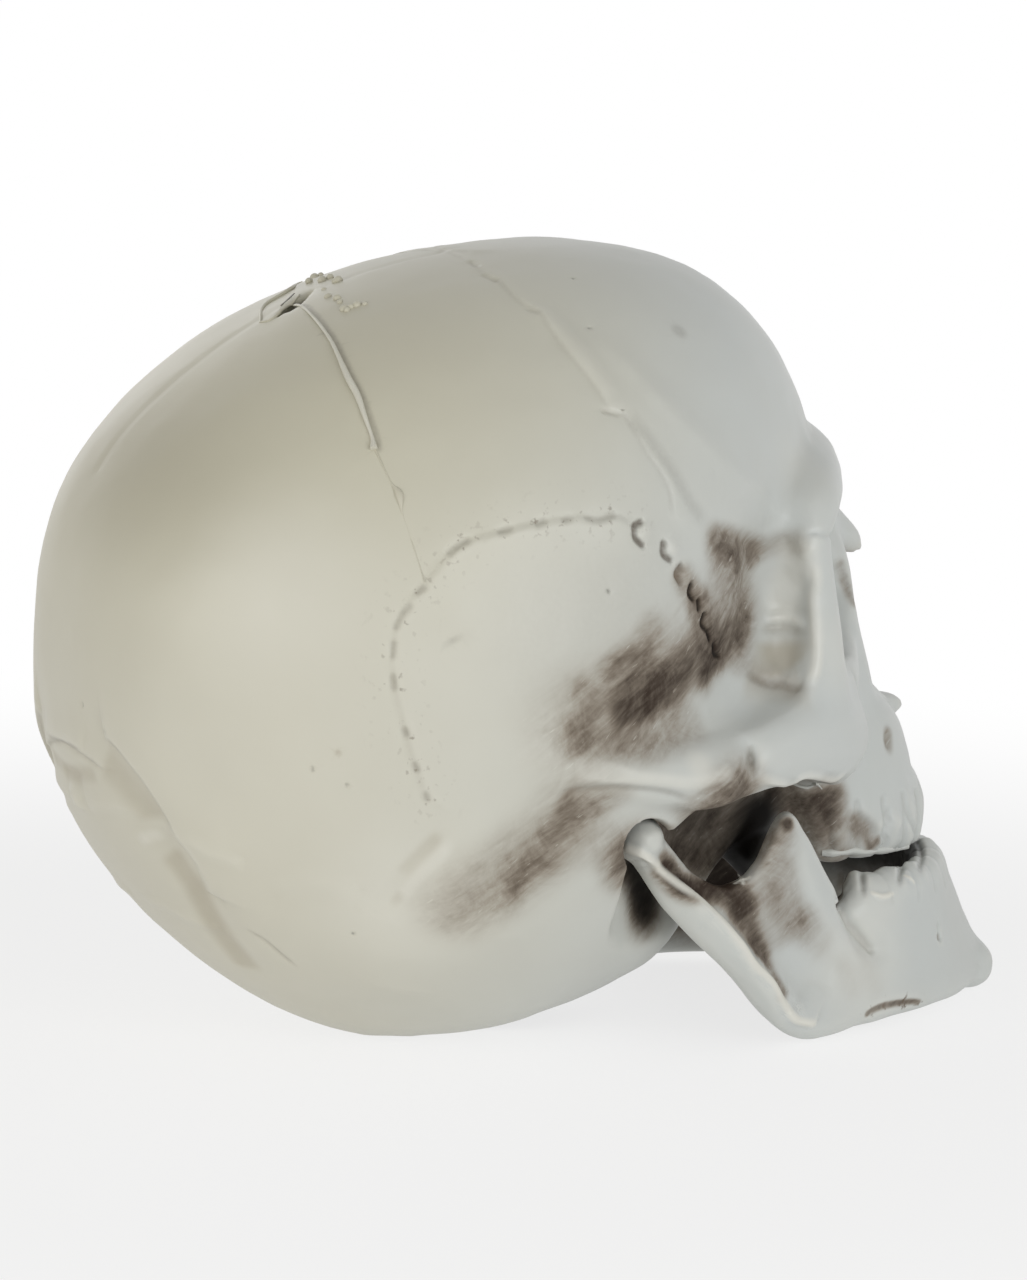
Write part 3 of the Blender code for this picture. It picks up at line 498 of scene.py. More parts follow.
class Shader:
    """The node tree of a material or of the surround, filled through one method."""

    def __init__(self, owner):
        self.owner = owner
        owner.use_nodes = True
        self.tree = owner.node_tree
        self.tree.nodes.clear()

    def node(self, kind, settings, sockets, out=0):
        """Adds a node with its settings, then the values and links of its sockets."""
        made = self.tree.nodes.new(kind)
        for name, value in settings.items():
            setattr(made, name, value)
        for key, value in sockets.items():
            if isinstance(value, Wire):
                self.tree.links.new(value.socket, made.inputs[key])
            else:
                made.inputs[key].default_value = value
        return Wire(self, made.outputs[out])

    def coordinates(self):
        return self.node("ShaderNodeTexCoord", {}, {}, "Object")

    def axes(self, vector):
        split = self.node("ShaderNodeSeparateXYZ", {}, {0: vector})
        return [Wire(self, split.socket.node.outputs[i]) for i in range(3)]

    def noise(self, vector, scale, detail=2.0, roughness=0.5, distortion=0.0):
        return self.node("ShaderNodeTexNoise", {}, {"Vector": vector, "Scale": scale, "Detail": detail,
                                                    "Roughness": roughness, "Distortion": distortion}, "Fac")

    def ramp(self, value, low, high):
        return self.node("ShaderNodeMapRange", {"interpolation_type": "SMOOTHSTEP"},
                         {"Value": value, "From Min": low, "From Max": high}, "Result")

    def attribute(self, name):
        return self.node("ShaderNodeAttribute", {"attribute_name": name}, {}, "Fac")

    def mix(self, factor, a, b):
        """A colour between a and b, which sit on the node's seventh and eighth sockets."""
        return self.node("ShaderNodeMix", {"data_type": "RGBA"}, {0: factor, 6: a, 7: b}, 2)

    def finish(self, sockets, height, strength, distance):
        """Closes a material: one Principled shader with a bump of a strength and a distance."""
        sockets["Normal"] = self.node("ShaderNodeBump", {}, {"Height": height, "Strength": strength,
                                                             "Distance": distance})
        return self.output(self.node("ShaderNodeBsdfPrincipled", {}, sockets))

    def output(self, surface, kind="ShaderNodeOutputMaterial"):
        made = self.tree.nodes.new(kind)
        self.tree.links.new(surface.socket, made.inputs["Surface"])
        return self.owner


def named_material(name):
    return bpy.data.materials.get(name) or bpy.data.materials.new(name)


def colour(red, green, blue):
    """A colour given in the 0-255 steps of a paint card, as the shader wants it."""
    def linear(step):
        c = step / 255
        return c / 12.92 if c <= 0.04045 else ((c + 0.055) / 1.055) ** 2.4
    return (linear(red), linear(green), linear(blue), 1.0)


# Tones of the casting, of its paint, and of the painted shade and highlights, in the steps of a paint card
REAR_BEIGE_AND_SHADE_TONE = colour(172, 167, 147)
MOTTLE_TONE = colour(186, 180, 162)
CREASE_SHADE_TONE = colour(134, 124, 104)
EDGE_HIGHLIGHT_TONE = colour(226, 224, 214)
BEIGE_AND_SHADE_TONE = colour(158, 146, 122)
SEAM_AND_SHADOW_LINE_TONE = colour(86, 76, 64)
SHADOW_AND_SPECK_TONE = colour(8, 5, 3)
SPECK_TONE = colour(96, 78, 58)
PAINTED_HIGHLIGHT_TONE = colour(222, 220, 210)
THIN_PAINT = colour(126, 110, 92)
THICK_PAINT = colour(46, 34, 26)
WORN_STEEL = colour(176, 172, 162)
VINYL_NAME = "soft_vinyl"
# Tilt and size of the paint's brush marks and of the scratches in it
BRUSH_TILT, BRUSH_SIZE = (-0.61, 0, 0), (2.2 * MM, 9 * MM, 1.5 * MM)
SCRATCH_TILT, SCRATCH_SIZE = (-0.75, 0, 0), (3 * MM, 3.5 * MM, 0.5 * MM)


def stretched(sh, place, tilt, size):
    """Coordinates tilted about X and measured in a size along each axis."""
    return sh.node("ShaderNodeMapping", {"vector_type": "TEXTURE"}, {0: place, "Rotation": tilt, "Scale": size})


def painted(sh, place, base):
    """Brown paint wiped on thinly: full in its middle, broken up and scratched towards its edge."""
    paint = sh.attribute("paint")
    smoke = sh.noise(place, 75.0, 6.0, 0.68, 0.6)
    streak = sh.noise(stretched(sh, place, BRUSH_TILT, BRUSH_SIZE), 1.0, 3.0, 0.6, 0.4)
    scratch = sh.noise(stretched(sh, place, SCRATCH_TILT, SCRATCH_SIZE), 1.0, 2.0, 0.5, 0.6)
    uneven = (smoke - 0.5) * 0.95 + (streak - 0.5) * 0.5 - sh.ramp(scratch, 0.66, 0.78) * 0.25
    field = paint + uneven * sh.ramp(paint, 0.0, 0.55)
    thin = sh.ramp(field, -0.04, 0.80)
    thick = sh.ramp(field, 0.48, 1.12)
    base = sh.mix(thin * 0.82, base, THIN_PAINT)
    return sh.mix(thick * 0.96, base, THICK_PAINT), thin


def vinyl(settings):
    """Satin off-white casting: warmer at the back and the crown, brown paint worked into its hollows, and painted
    shade and highlights in its colour.
    """
    sh = Shader(named_material(VINYL_NAME))
    place = sh.coordinates()
    _, y, z = sh.axes(place)
    mottle = sh.noise(place, 32.0, 4.0, 0.55)
    cloud = sh.noise(place, 11.0, 2.0)
    grain = sh.noise(place, 1400.0, 2.0)
    peel = sh.noise(place, 420.0, 3.0)
    # the plain plastic, from the face to the back and up to the crown; the darker beige of the crown and the upper
    # back is partly the casting's tone and partly painted shade on the top of the skull
    back = (sh.ramp(y, -0.075, 0.045) + (cloud - 0.5) * 0.25).clamped()
    high = sh.ramp(z + y * 0.25, 0.080, 0.142) * back
    upper_back_darkening = sh.ramp(y, 0.030, 0.062) * sh.ramp(z, 0.092, 0.124)
    base = sh.mix(back, tuple(settings.face_colour) + (1,), tuple(settings.back_colour) + (1,))
    base = sh.mix(high, base, tuple(settings.crown_beige_and_shade_colour) + (1,))
    base = sh.mix(upper_back_darkening * 0.8, base, REAR_BEIGE_AND_SHADE_TONE)
    base = sh.mix((mottle - 0.5) * 0.3 + 0.12, base, MOTTLE_TONE)
    # painted shade in the hollows and painted highlights on sharp edges, by how hollow the skin is
    crease = sh.attribute("crease")
    base = sh.mix((crease * (0.02 + mottle * 0.4)).clamped(), base, CREASE_SHADE_TONE)
    base = sh.mix((crease * -0.3).clamped(), base, EDGE_HIGHLIGHT_TONE)
    # the marks laid on the skin: real beige, seams, paint and specks, with painted shade, shadow lines and
    # highlights among them
    # beige tint, and painted shade in the valleys, hollows and grooves
    beige_and_shade_level = sh.attribute("warmth") * (0.75 + (mottle - 0.5) * 0.8)
    base = sh.mix(beige_and_shade_level.clamped(), base, BEIGE_AND_SHADE_TONE)
    # dark lines: the seams of the sutures, and painted shadow along creases, folds and notches
    line = sh.attribute("line") * (0.55 + sh.noise(place, 900.0, 2.0) * 0.75)
    base = sh.mix(line.clamped(), base, SEAM_AND_SHADOW_LINE_TONE)
    base, cover = painted(sh, place, base)
    # painted shadow in the bay, the mouth and the slit, and dark marks in the pits and the scale dashes
    dark = sh.attribute("dark").clamped()
    base = sh.mix(dark, base, SHADOW_AND_SPECK_TONE)
    speck = sh.attribute("speckle") * sh.ramp(sh.noise(place, 650.0, 2.0), 0.60, 0.72)
    base = sh.mix(speck.clamped(), base, SPECK_TONE)
    # painted highlights on the lit ridges, rims, flash and patches
    base = sh.mix(sh.attribute("pale").clamped(), base, PAINTED_HIGHLIGHT_TONE)
    # paint, and the dark stain of painted shadow and specks, are matt
    rough = 0.44 + (mottle - 0.5) * 0.12 + cover * 0.16
    gloss = 0.45 * (1 - cover) * (1 - dark)
    return sh.finish({"Base Color": base, "Roughness": rough, "Specular IOR Level": 0.12, "Coat Weight": gloss,
                      "Coat Roughness": 0.36}, grain * 0.35 + peel * 0.65, 0.12, 0.2 * MM)


def steel(settings):
    """Bright plated wire, a little worn."""
    sh = Shader(named_material("bright_steel"))
    wear = sh.noise(sh.coordinates(), 260.0, 3.0)
    tone = sh.mix(sh.ramp(wear, 0.35, 0.7), tuple(settings.steel_colour) + (1,), WORN_STEEL)
    return sh.finish({"Base Color": tone, "Metallic": 1.0, "Roughness": 0.2 + wear * 0.18}, wear, 0.05, 0.1 * MM)


def linked(name, mesh):
    obj = bpy.data.objects.new(name, mesh)
    bpy.context.scene.collection.objects.link(obj)
    return obj


def applied(obj, *modifiers):
    """Gives the object modifiers, each (type, settings), and applies them all."""
    for kind, settings in modifiers:
        made = obj.modifiers.new(kind.title(), kind)
        for name, value in settings.items():
            setattr(made, name, value)
    graph = bpy.context.evaluated_depsgraph_get()
    mesh = bpy.data.meshes.new_from_object(obj.evaluated_get(graph))
    obj.modifiers.clear()
    old = obj.data
    obj.data = mesh
    bpy.data.meshes.remove(old)
    return obj


def node_copy(name, node):
    """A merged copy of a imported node's mesh."""
    bm = bmesh.new()
    bm.from_mesh(frame["nodes"][node].data)
    bmesh.ops.remove_doubles(bm, verts=bm.verts, dist=1e-6)
    mesh = bpy.data.meshes.new(name)
    bm.to_mesh(mesh)
    bm.free()
    return linked(name, mesh)


def refined(obj, voxel):
    """Turns the facets into one fine, even skin: subdivided, remeshed and evened without shrinking."""
    steps = [("SUBSURF", {"levels": 2, "render_levels": 2}),
             ("REMESH", {"mode": "VOXEL", "voxel_size": voxel, "use_smooth_shade": True})]
    for _ in range(EVENING_ROUNDS):
        steps += [("SMOOTH", {"factor": 0.5, "iterations": 4}), ("SMOOTH", {"factor": -0.51, "iterations": 4})]
    return applied(obj, *steps)


def thinned(obj, triangles):
    """Leaves about so many triangles, most of them where the skin bends or its stains change."""
    now = sum(len(p.vertices) - 2 for p in obj.data.polygons)
    if now > triangles:
        worth = np.empty(len(obj.data.vertices))
        obj.data.attributes["worth"].data.foreach_get("value", worth)
        group = obj.vertex_groups.new(name="free")
        for step in range(5):
            group.add(np.flatnonzero(np.round(worth * 4) == step).tolist(), 1 - step * 0.22, "REPLACE")
        applied(obj, ("DECIMATE", {"ratio": triangles / now, "vertex_group": group.name,
                                   "vertex_group_factor": 0.5}))
        obj.vertex_groups.clear()
    obj.data.shade_smooth()


def clear_of_seats(points):
    """0 at the jaw's two seats, where the castings almost touch, and 1 away from them."""
    folded = np.array(points)
    folded[:, 0] = np.abs(folded[:, 0])
    away = np.abs(folded - SEAT).max(1)
    return np.clip((away - SEAT_MARGIN) / SEAT_EASE, 0, 1)


def in_view(tree, places, points, normals, slack=0.3 * MM):
    """Which points of a skin face one of the places inside its hollow, with nothing between."""
    seen = np.zeros(len(points), dtype=bool)
    for place in places:
        facing = ((np.array(place) - points) * normals).sum(1) > 0
        for i in np.flatnonzero(facing & ~seen):
            ray = Vector(points[i]) - Vector(place)
            hit = tree.ray_cast(Vector(place), ray.normalized(), ray.length - slack)
            seen[i] = hit[0] is None
    return seen


def finished(obj, material, slot, body=None, *replaced):
    """Gives a piece its material, hangs it on the body that it rides on, and hides the imported parts that it
    replaces.
    """
    obj.data.materials.clear()
    obj.data.materials.append(material)
    if body:
        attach(obj, body)
    if replaced:
        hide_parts(*replaced)


# the layers: brown paint; painted shadow and dark specks; seams and painted shadow lines; painted highlights;
# specks; beige and painted shade; how hollow the skin is
STAINS = ("paint", "dark", "line", "pale", "speckle", "warmth", "crease")


def blank_stains(clay):
    """Gives every vertex a clean level of each stain."""
    for name in STAINS:
        clay.stains.setdefault(name, np.zeros(clay.count))


def both(line):
    """The line and its mirror image on the skull's other side."""
    return (line, line.mirrored())


# Relief of the cranium: the run of pixels, its radius and its height in millimetres
CRANIUM_RELIEF = (
    (CORONAL_SUTURE, 0.6, -0.13),
    (CORONAL_ROLL, 2.2, 0.45),
    (SQUAMOUS_SUTURE, 0.9, -0.10),
    (TEMPLE_LINE, 0.5, -0.15),
    (TEMPORAL_LINES[0], 2.4, 0.20),
    (TEMPORAL_LINES[1], 1.4, -0.20),
    (TEMPORAL_LINES[2], 1.8, 0.15),
    (TEMPLE_CREASE, 2.2, -0.9),
    (FOSSA_CREASE, 1.6, -0.3),
    (FOSSA_PIT, 0.6, -0.5),
    (ORBIT_KNOB, 1.8, 0.7),
    (ORBIT_RIM, 1.1, 0.5),
    (ORBIT_FACET, 3.6, 0.75),
    (ORBIT_LEDGE, 1.1, 0.95),
    (ORBIT_UNDER_LEDGE, 0.9, -0.6),
    (ORBIT_FOOT, 2.6, 1.5),
    (CHEEK_NOTCH, 0.9, -1.3),
    (CHEEK_LIP, 0.9, 0.7),
    (ARCH_RIDGE, 2.4, 0.8),
    (ARCH_FOOT, 1.6, -0.6),
    (EAR_HOLLOW, 5.0, -0.7),
    (MASTOID_GROOVE, 1.5, -0.4),
    (MASTOID_GROOVE_LOW, 0.9, -0.3),
    (MASTOID_RIDGE, 2.0, 0.4),
    (OCCIPUT_CREASE, 0.8, -0.25),
    (OCCIPUT_HOLLOW, 3.6, -0.4),
    (OCCIPUT_SMUDGE, 1.8, -0.35),
    (OCCIPUT_KNOLL, 2.0, 0.45),
    (OCCIPUT_VALLEY, 3.6, -0.35),
    (OCCIPUT_LINE, 0.6, -0.28),
    (NECK_ROLL, 3.0, 0.35),
    (NECK_SCRATCHES[0], 0.6, -0.22),
    (NECK_SCRATCHES[1], 0.5, -0.25),
    (NECK_SCRATCHES[2], 0.5, -0.25),
    (NECK_SCRATCHES[3], 0.5, -0.25),
    (SPINE_PIT, 1.3, -0.9),
    (MAXILLA_PIT, 1.6, -0.9),
    (ROOT_GROOVES[0], 0.8, -0.9),
    (ROOT_GROOVES[1], 0.8, -0.8),
    (ROOT_GROOVES[2], 0.7, -0.7),
    (NASAL_EDGE, 0.8, -0.6),
)
# Dashes and dots of the cranium: the runs or pixels, their radius and height in millimetres
CRANIUM_DASHES = ((CORONAL_NICKS + SQUAMOUS_DASHES, 0.6, -0.38), (SCALES, 0.6, -0.8))
CRANIUM_DOTS = ((SCALE_LOBES + ROOT_LUMPS, 1.6, 0.55), (TEMPLE_NOTCHES, 0.9, 0.7))
# Steps of the cranium: the run, a pixel on its raised side, and the sharpness, height and
# width of the step in millimetres
CRANIUM_STEPS = (
    (SQUAMOUS_SUTURE, PLATE_CENTRE, 1.2, 0.40, 5.0),
    (OCCIPUT_FOLD, OCCIPUT_PLATE, 1.0, 0.90, 6.0),
    (OCCIPUT_CREASE, (90, 700), 0.7, 0.60, 4.0),
    (CORONAL_SUTURE, (700, 330), 1.2, 0.28, 5.0),
)
# Relief that the photograph doesn't show, on the front and the base: the run of places,
# its radius and its height, all in millimetres
HIDDEN_RELIEF = (
    # rim of the nose's opening, the seam between the nose bones and the one above them
    (((3, -116, 97), (7, -111, 90), (11, -108, 82), (13, -108, 74), (9, -115, 66), (3, -121, 63)), 1.0, 0.6),
    (((0, -97, 112), (0, -104, 105), (0, -111, 99)), 0.6, -0.4),
    (((0, -97, 112), (6, -98, 110), (11, -97, 107)), 0.6, -0.35),
    # upper rim of the eye socket with its notch, and the hole under the socket
    (((13, -100, 104), (22, -98, 109), (32, -93, 110), (41, -87, 106)), 1.6, 0.7),
    (((21, -99, 107), (20, -96, 111)), 1.1, -0.8),
    (((25, -101, 66), (26, -101, 65)), 1.4, -1.6),
    # seams of the cheek bone
    (((36, -92, 74), (38, -91, 66), (41, -88, 58)), 0.6, -0.4),
    (((43, -85, 107), (48, -81, 105), (52, -75, 106)), 0.6, -0.45),
    # seam along the crown
    (((0, -22, 162), (0, 5, 161), (0, 30, 154), (0, 50, 138), (0, 60, 118)), 1.6, -0.12),
    # muscle lines at the back of the neck, and a knob between them
    (((4, 60, 52), (16, 58, 53), (30, 52, 50), (42, 42, 44)), 2.0, 0.5),
    (((4, 50, 30), (14, 48, 30), (26, 41, 27)), 1.8, 0.4),
    (((0, 62, 55), (0, 60, 49)), 3.0, 0.7),
    # knuckles beside the way in, its rim, and the seam in front of it
    (((11, -48, 3), (15, -42, 2)), 2.6, 0.9),
    (((15, -36, 1), (12, -24, 0.5), (5, -18, 0.5)), 1.8, 0.5),
    (((0, -54, 6), (8, -55, 8), (16, -55, 10)), 0.8, -0.5),
    # seams of the palate
    (((0, -78, 42), (0, -95, 43), (0, -112, 42)), 0.6, -0.5),
    (((2, -86, 43), (9, -86, 42), (15, -86, 40)), 0.6, -0.4),
)
# The two rows of teeth: half their width, their front and back, the heights of gum, neck, side
# and edge, and how deep the gaps are and how full the crowns, in millimetres
UPPER_TEETH = {"half_width": 28.2, "front": -126.2, "back": -92, "levels": (46, 41, 36, 33),
               "gap": -0.6, "bulge": 0.2}
LOWER_TEETH = {"half_width": 33.4, "front": -130.4, "back": -93, "levels": (25, 27, 29, 31),
               "gap": -0.22, "bulge": 0.25}
TEETH_EACH_SIDE = 7
TOOTH_DEPTH = 3.6
TEETH_SWEEP = radians(88)
TEETH_SQUARENESS = 0.86
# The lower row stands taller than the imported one, as it nearly meets the upper one in the
# photograph: by so many millimetres, from a height on up and from a place on forward
LOWER_LIFT = {"height": 2.2, "from_z": 18, "over_z": 12, "from_y": -89, "over_y": 8}


def tooth_lines(row, skin, share):
    """Lines up the outer face and over the edge of each tooth, at a share between two gaps."""
    gum, neck, side, edge = row["levels"]
    lines = []
    for k in range(TEETH_EACH_SIDE):
        a = TEETH_SWEEP * (k + share) / TEETH_EACH_SIDE
        x = row["half_width"] * sin(a) ** TEETH_SQUARENESS
        y = row["back"] + (row["front"] - row["back"]) * cos(a)
        out = (TOOTH_DEPTH * sin(a), -TOOTH_DEPTH * cos(a))
        run = [(x + out[0], y + out[1], z) for z in (gum, neck, side)]
        lines.append(skin.path(run + [(x, y, edge), (x - out[0], y - out[1], side)]))
    return lines


def press_both(clay, line, radius, height, fade=0):
    """Raises or sinks the skin along a line and its mirror image; sizes are in millimetres."""
    for half in both(line):
        clay.press(half, radius * MM, height * MM, fade=fade * MM)


def shape_teeth(clay, row, skin):
    """Parts the row of teeth by grooves and swells each crown."""
    for line in tooth_lines(row, skin, 1.0):
        press_both(clay, line, 0.75, row["gap"])
    for line in tooth_lines(row, skin, 0.5):
        press_both(clay, line, 1.5, row["bulge"], fade=3)


def stain_both(clay, name, line, radius, amount, soft, fade=0):
    """Stains the skin along a line and its mirror image; sizes are in millimetres."""
    for half in both(line):
        clay.stain(name, half, radius * MM, amount, soft=soft, fade=fade * MM)


def stain_washes(clay, skin, washes, step):
    """Thin brown paint along runs of pixels, in the shaded places also standing for shade: full in the inner half,
    soft far beyond.
    """
    for pixels, radius, amount in washes:
        stain_both(clay, "paint", skin.line(pixels, step), radius * 0.5, amount, 2.4)


def stain_runs(clay, skin, stains):
    """The stains of a list: name, runs of pixels, radius, strength, soft edge, faded ends and step."""
    for name, runs, radius, amount, soft, fade, step in stains:
        for pixels in runs:
            stain_both(clay, name, skin.line(pixels, step), radius, amount, soft, fade)


def stain_patches(clay, skin, patches):
    """Broad soft changes of tone, most of them painted highlights and shade."""
    for name, pixel, radius, amount in patches:
        stain_both(clay, name, skin.dot(pixel), radius * 0.4, amount, 4.0)


def stain_pools(clay, pools):
    """Egg-shaped stains, on both sides where the middle isn't in the skull's middle plane."""
    for name, middle, radii, amount, facing in pools:
        for side in (1, -1) if middle[0] else (1,):
            flip = np.array((side, 1, 1))
            clay.pool(name, middle * flip * MM, np.array(radii) * MM, amount,
                      None if facing is None else facing * flip)


def shape_cranium(clay, skin):
    """Sutures, creases, pits and folds of the moulded cranium."""
    for pixels, radius, height in CRANIUM_RELIEF:
        press_both(clay, skin.line(pixels), radius, height, fade=3)
    for pixels, raised, sharpness, height, width in CRANIUM_STEPS:
        centre = skin.at_pixel(*raised)[0]
        for side, line in zip((1, -1), both(skin.line(pixels))):
            clay.terrace(line, centre * Vector((side, 1, 1)), sharpness * MM, height * MM, width * MM)
    for places, radius, height in HIDDEN_RELIEF:
        press_both(clay, skin.path(places), radius, height, fade=2)
    for runs, radius, height in CRANIUM_DASHES:
        for pixels in runs:
            press_both(clay, skin.line(pixels, DASH_STEP), radius, height)
    for dots, radius, height in CRANIUM_DOTS:
        for pixel in dots:
            press_both(clay, skin.dot(pixel), radius, height)
    for pixel in SPECKS:
        clay.press(skin.dot(pixel), 0.45 * MM, -0.4 * MM)
    shape_teeth(clay, UPPER_TEETH, skin)


# Stains of the cranium, as stain_runs takes them: radius and faded ends in millimetres, soft
# edge in radii, step in pixels
CRANIUM_STAINS = (
    # painted shadow: the bay's dark core and the wall behind the jaw's branch
    ("dark", (BAY_CORE,), 5.0, 1.0, 1.2, 0, LONG_STEP),
    ("dark", (BEHIND_RAMUS,), 2.6, 0.92, 2.4, 0, LONG_STEP),
    ("line", SCALES, 0.45, 0.8, 1.2, 0, DASH_STEP),
    ("dark", SCALES[3:], 0.4, 0.9, 1.0, 0, DASH_STEP),
    ("line", SQUAMOUS_DASHES, 0.4, 0.26, 1.8, 0, DASH_STEP),
    ("speckle", SQUAMOUS_DASHES, 1.2, 0.5, 1.5, 0, DASH_STEP),
    ("line", (TEMPLE_LINE,), 0.4, 0.25, 1.6, 3, LONG_STEP),
    ("line", (CORONAL_SUTURE,), 0.3, 0.12, 1.6, 3, LONG_STEP),
    ("line", (SQUAMOUS_SUTURE,), 0.3, 0.05, 1.6, 3, LONG_STEP),
    ("line", (TEMPORAL_LINES[1],), 1.0, 0.14, 1.6, 3, LONG_STEP),
    # painted shadow lines: under the arch, along the occiput's crease and fold, along the fossa's crease and in
    # the cheek's notch
    ("line", (ARCH_FOOT,), 0.5, 0.25, 1.6, 3, LONG_STEP),
    ("line", (OCCIPUT_CREASE,), 0.3, 0.25, 1.6, 3, LONG_STEP),
    ("line", (OCCIPUT_FOLD[:5],), 0.4, 0.22, 1.6, 3, LONG_STEP),
    ("line", (FOSSA_CREASE,), 0.6, 0.4, 1.6, 3, LONG_STEP),
    ("line", (OCCIPUT_LINE,), 0.3, 0.2, 1.6, 3, LONG_STEP),
    ("line", (CHEEK_NOTCH,), 0.3, 0.5, 1.6, 3, LONG_STEP),
    # beige of the orbit's lower facet with painted shade in it, and painted shade in the occiput's valley, hollow
    # and smudge, in the fossa's crease and in the mastoid's grooves
    ("warmth", (ORBIT_BEIGE,), 4.5, 0.75, 1.0, 2, LONG_STEP),
    ("warmth", (OCCIPUT_VALLEY,), 2.6, 0.5, 1.0, 2, LONG_STEP),
    ("warmth", (OCCIPUT_HOLLOW,), 3.4, 0.4, 1.0, 2, LONG_STEP),
    ("warmth", (OCCIPUT_SMUDGE,), 1.4, 0.3, 1.0, 2, LONG_STEP),
    ("warmth", (FOSSA_CREASE,), 4.0, 0.4, 1.0, 2, LONG_STEP),
    ("warmth", (MASTOID_GROOVE,), 1.2, 0.3, 1.0, 2, LONG_STEP),
    ("warmth", (MASTOID_GROOVE_LOW,), 0.8, 0.3, 1.0, 2, LONG_STEP),
    # painted highlights along the lit ridges and rims
    ("pale", (ORBIT_RIM, ORBIT_LEDGE, MASTOID_RIDGE, ARCH_RIDGE, CHEEK_LIP, OCCIPUT_KNOLL),
     0.8, 0.32, 1.6, 3, LONG_STEP),
    ("speckle", (SQUAMOUS_SUTURE,), 3.5, 0.16, 1.5, 0, LONG_STEP),
    # painted highlight on the orbit's lit upper facet
    ("pale", (ORBIT_FACET,), 3.0, 0.5, 1.0, 0, LONG_STEP),
)
# Pools of stain: the stain, the middle and the radii in millimetres, the strength, and the way
# that the stained skin faces if only that skin is meant
CRANIUM_POOLS = (
    # brown paint with painted shade in the seats of the jaw, then painted shadow and brown paint in the hollow
    # under the cheek arch
    ("paint", SEAT / MM, (10, 9, 9), 0.85, None),
    ("dark", (40, -66, 46), (12, 16, 14), 0.7, None),
    ("paint", (40, -66, 46), (18, 24, 18), 0.8, None),
    # brown paint at the back of the eye sockets, in the nose and on the palate, and painted shadow in the gap
    # between the rows of teeth
    ("paint", (27, -80, 92.5), (17, 20, 16), 0.75, None),
    ("paint", (0, -103, 79), (12, 18, 20), 0.8, None),
    ("paint", (0, -94, 42), (17, 24, 8), 0.4, None),
    ("dark", (0, -98, 34), (24, 26, 10), 0.7, None),
)
# The shadow line of the crown's flash lies this many pixels beside it
FLASH_SHADOW = 5


def stain_cranium(clay, skin):
    """Brown paint in the hollows and the thin dark lines in the sutures, with painted shade in the creases, the
    bay, the seats and the mouth, and painted highlights on the ridges and the lit skin.
    """
    blank_stains(clay)
    for washes in (FOSSA_WASHES, SHADE_WASHES, BAY_WASHES):
        stain_washes(clay, skin, washes, LONG_STEP)
    stain_runs(clay, skin, CRANIUM_STAINS)
    stain_patches(clay, skin, CRANIUM_PATCHES)
    clay.stain("line", skin.line([(x + FLASH_SHADOW, y) for x, y in CROWN_FLASH]), 0.4 * MM, 0.35, soft=1.5)
    for pixel in SPECKS:
        clay.stain("dark", skin.dot(pixel), 0.22 * MM, 0.7, soft=1.2)
    clay.stain("line", skin.dot(FOREHEAD_SPOT), 1.5 * MM, 0.26, soft=0.8)
    clay.stain("warmth", skin.dot(BEIGE_SPOT), 0.6 * MM, 0.6, soft=0.8)
    stain_pools(clay, CRANIUM_POOLS)


def mark_crease_shading(obj):
    """Stores how hollow a shaped skin is, from which the shader paints shade into its hollows and highlights onto
    its edges.
    """
    clay = Clay(obj.data)
    clay.stains["crease"] = clay.creases()
    clay.settle()


def parted(obj, names_and_unwanted):
    """Splits the skin into copies, each without the faces whose places are all unwanted in it."""
    pieces = []
    for name, unwanted in names_and_unwanted:
        bm = bmesh.new()
        bm.from_mesh(obj.data)
        bm.verts.ensure_lookup_table()
        gone = [f for f in bm.faces if all(unwanted[v.index] for v in f.verts)]
        bmesh.ops.delete(bm, geom=gone, context="FACES")
        mesh = bpy.data.meshes.new(name)
        bm.to_mesh(mesh)
        bm.free()
        pieces.append(linked(name, mesh))
    bpy.data.objects.remove(obj)
    return pieces


def keep_in_box(clay, node):
    """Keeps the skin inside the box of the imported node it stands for."""
    low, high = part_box(node)
    clay.points = np.clip(clay.points, np.array(low), np.array(high))


def open_seats(obj):
    """Opens the two seats to the side, as on the moulding, so that the heads of the jaw show in them."""
    bm = bmesh.new()
    for side in (-1, 1):
        middle = (Vector(SEAT) + SEAT_OPENING_PLACE) * Vector((side, 1, 1))
        turn = Matrix.Rotation(SEAT_OPENING_TILT, 4, "X")
        matrix = Matrix.Translation(middle) @ turn @ Matrix.Diagonal((*SEAT_OPENING_RADII, 1))
        bmesh.ops.create_icosphere(bm, subdivisions=3, radius=1, matrix=matrix)
    mesh = bpy.data.meshes.new("seat_opening")
    bm.to_mesh(mesh)
    bm.free()
    cutter = linked("seat_opening", mesh)
    applied(obj, ("BOOLEAN", {"operation": "DIFFERENCE", "object": cutter, "solver": "EXACT"}))
    bpy.data.objects.remove(cutter)
    return obj


# Rounds of evening that each skin gets
EVENING_ROUNDS = 4
# Places in the hollow head from which its whole lining is in view; the first is this far in
# front of the cranium's back
HOLLOW_DEPTH = 75 * MM
HOLLOW_PLACES = ((0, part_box("cranium")[1].y - HOLLOW_DEPTH, 0.085), (0, -0.030, 0.030), (0, -0.055, 0.12))
# The uneven skin of the castings: the size and the height of its waves
CRANIUM_WAVES = ((22 * MM, 0.55 * MM), (7 * MM, 0.14 * MM))
JAW_WAVES = (9 * MM, 0.22 * MM)


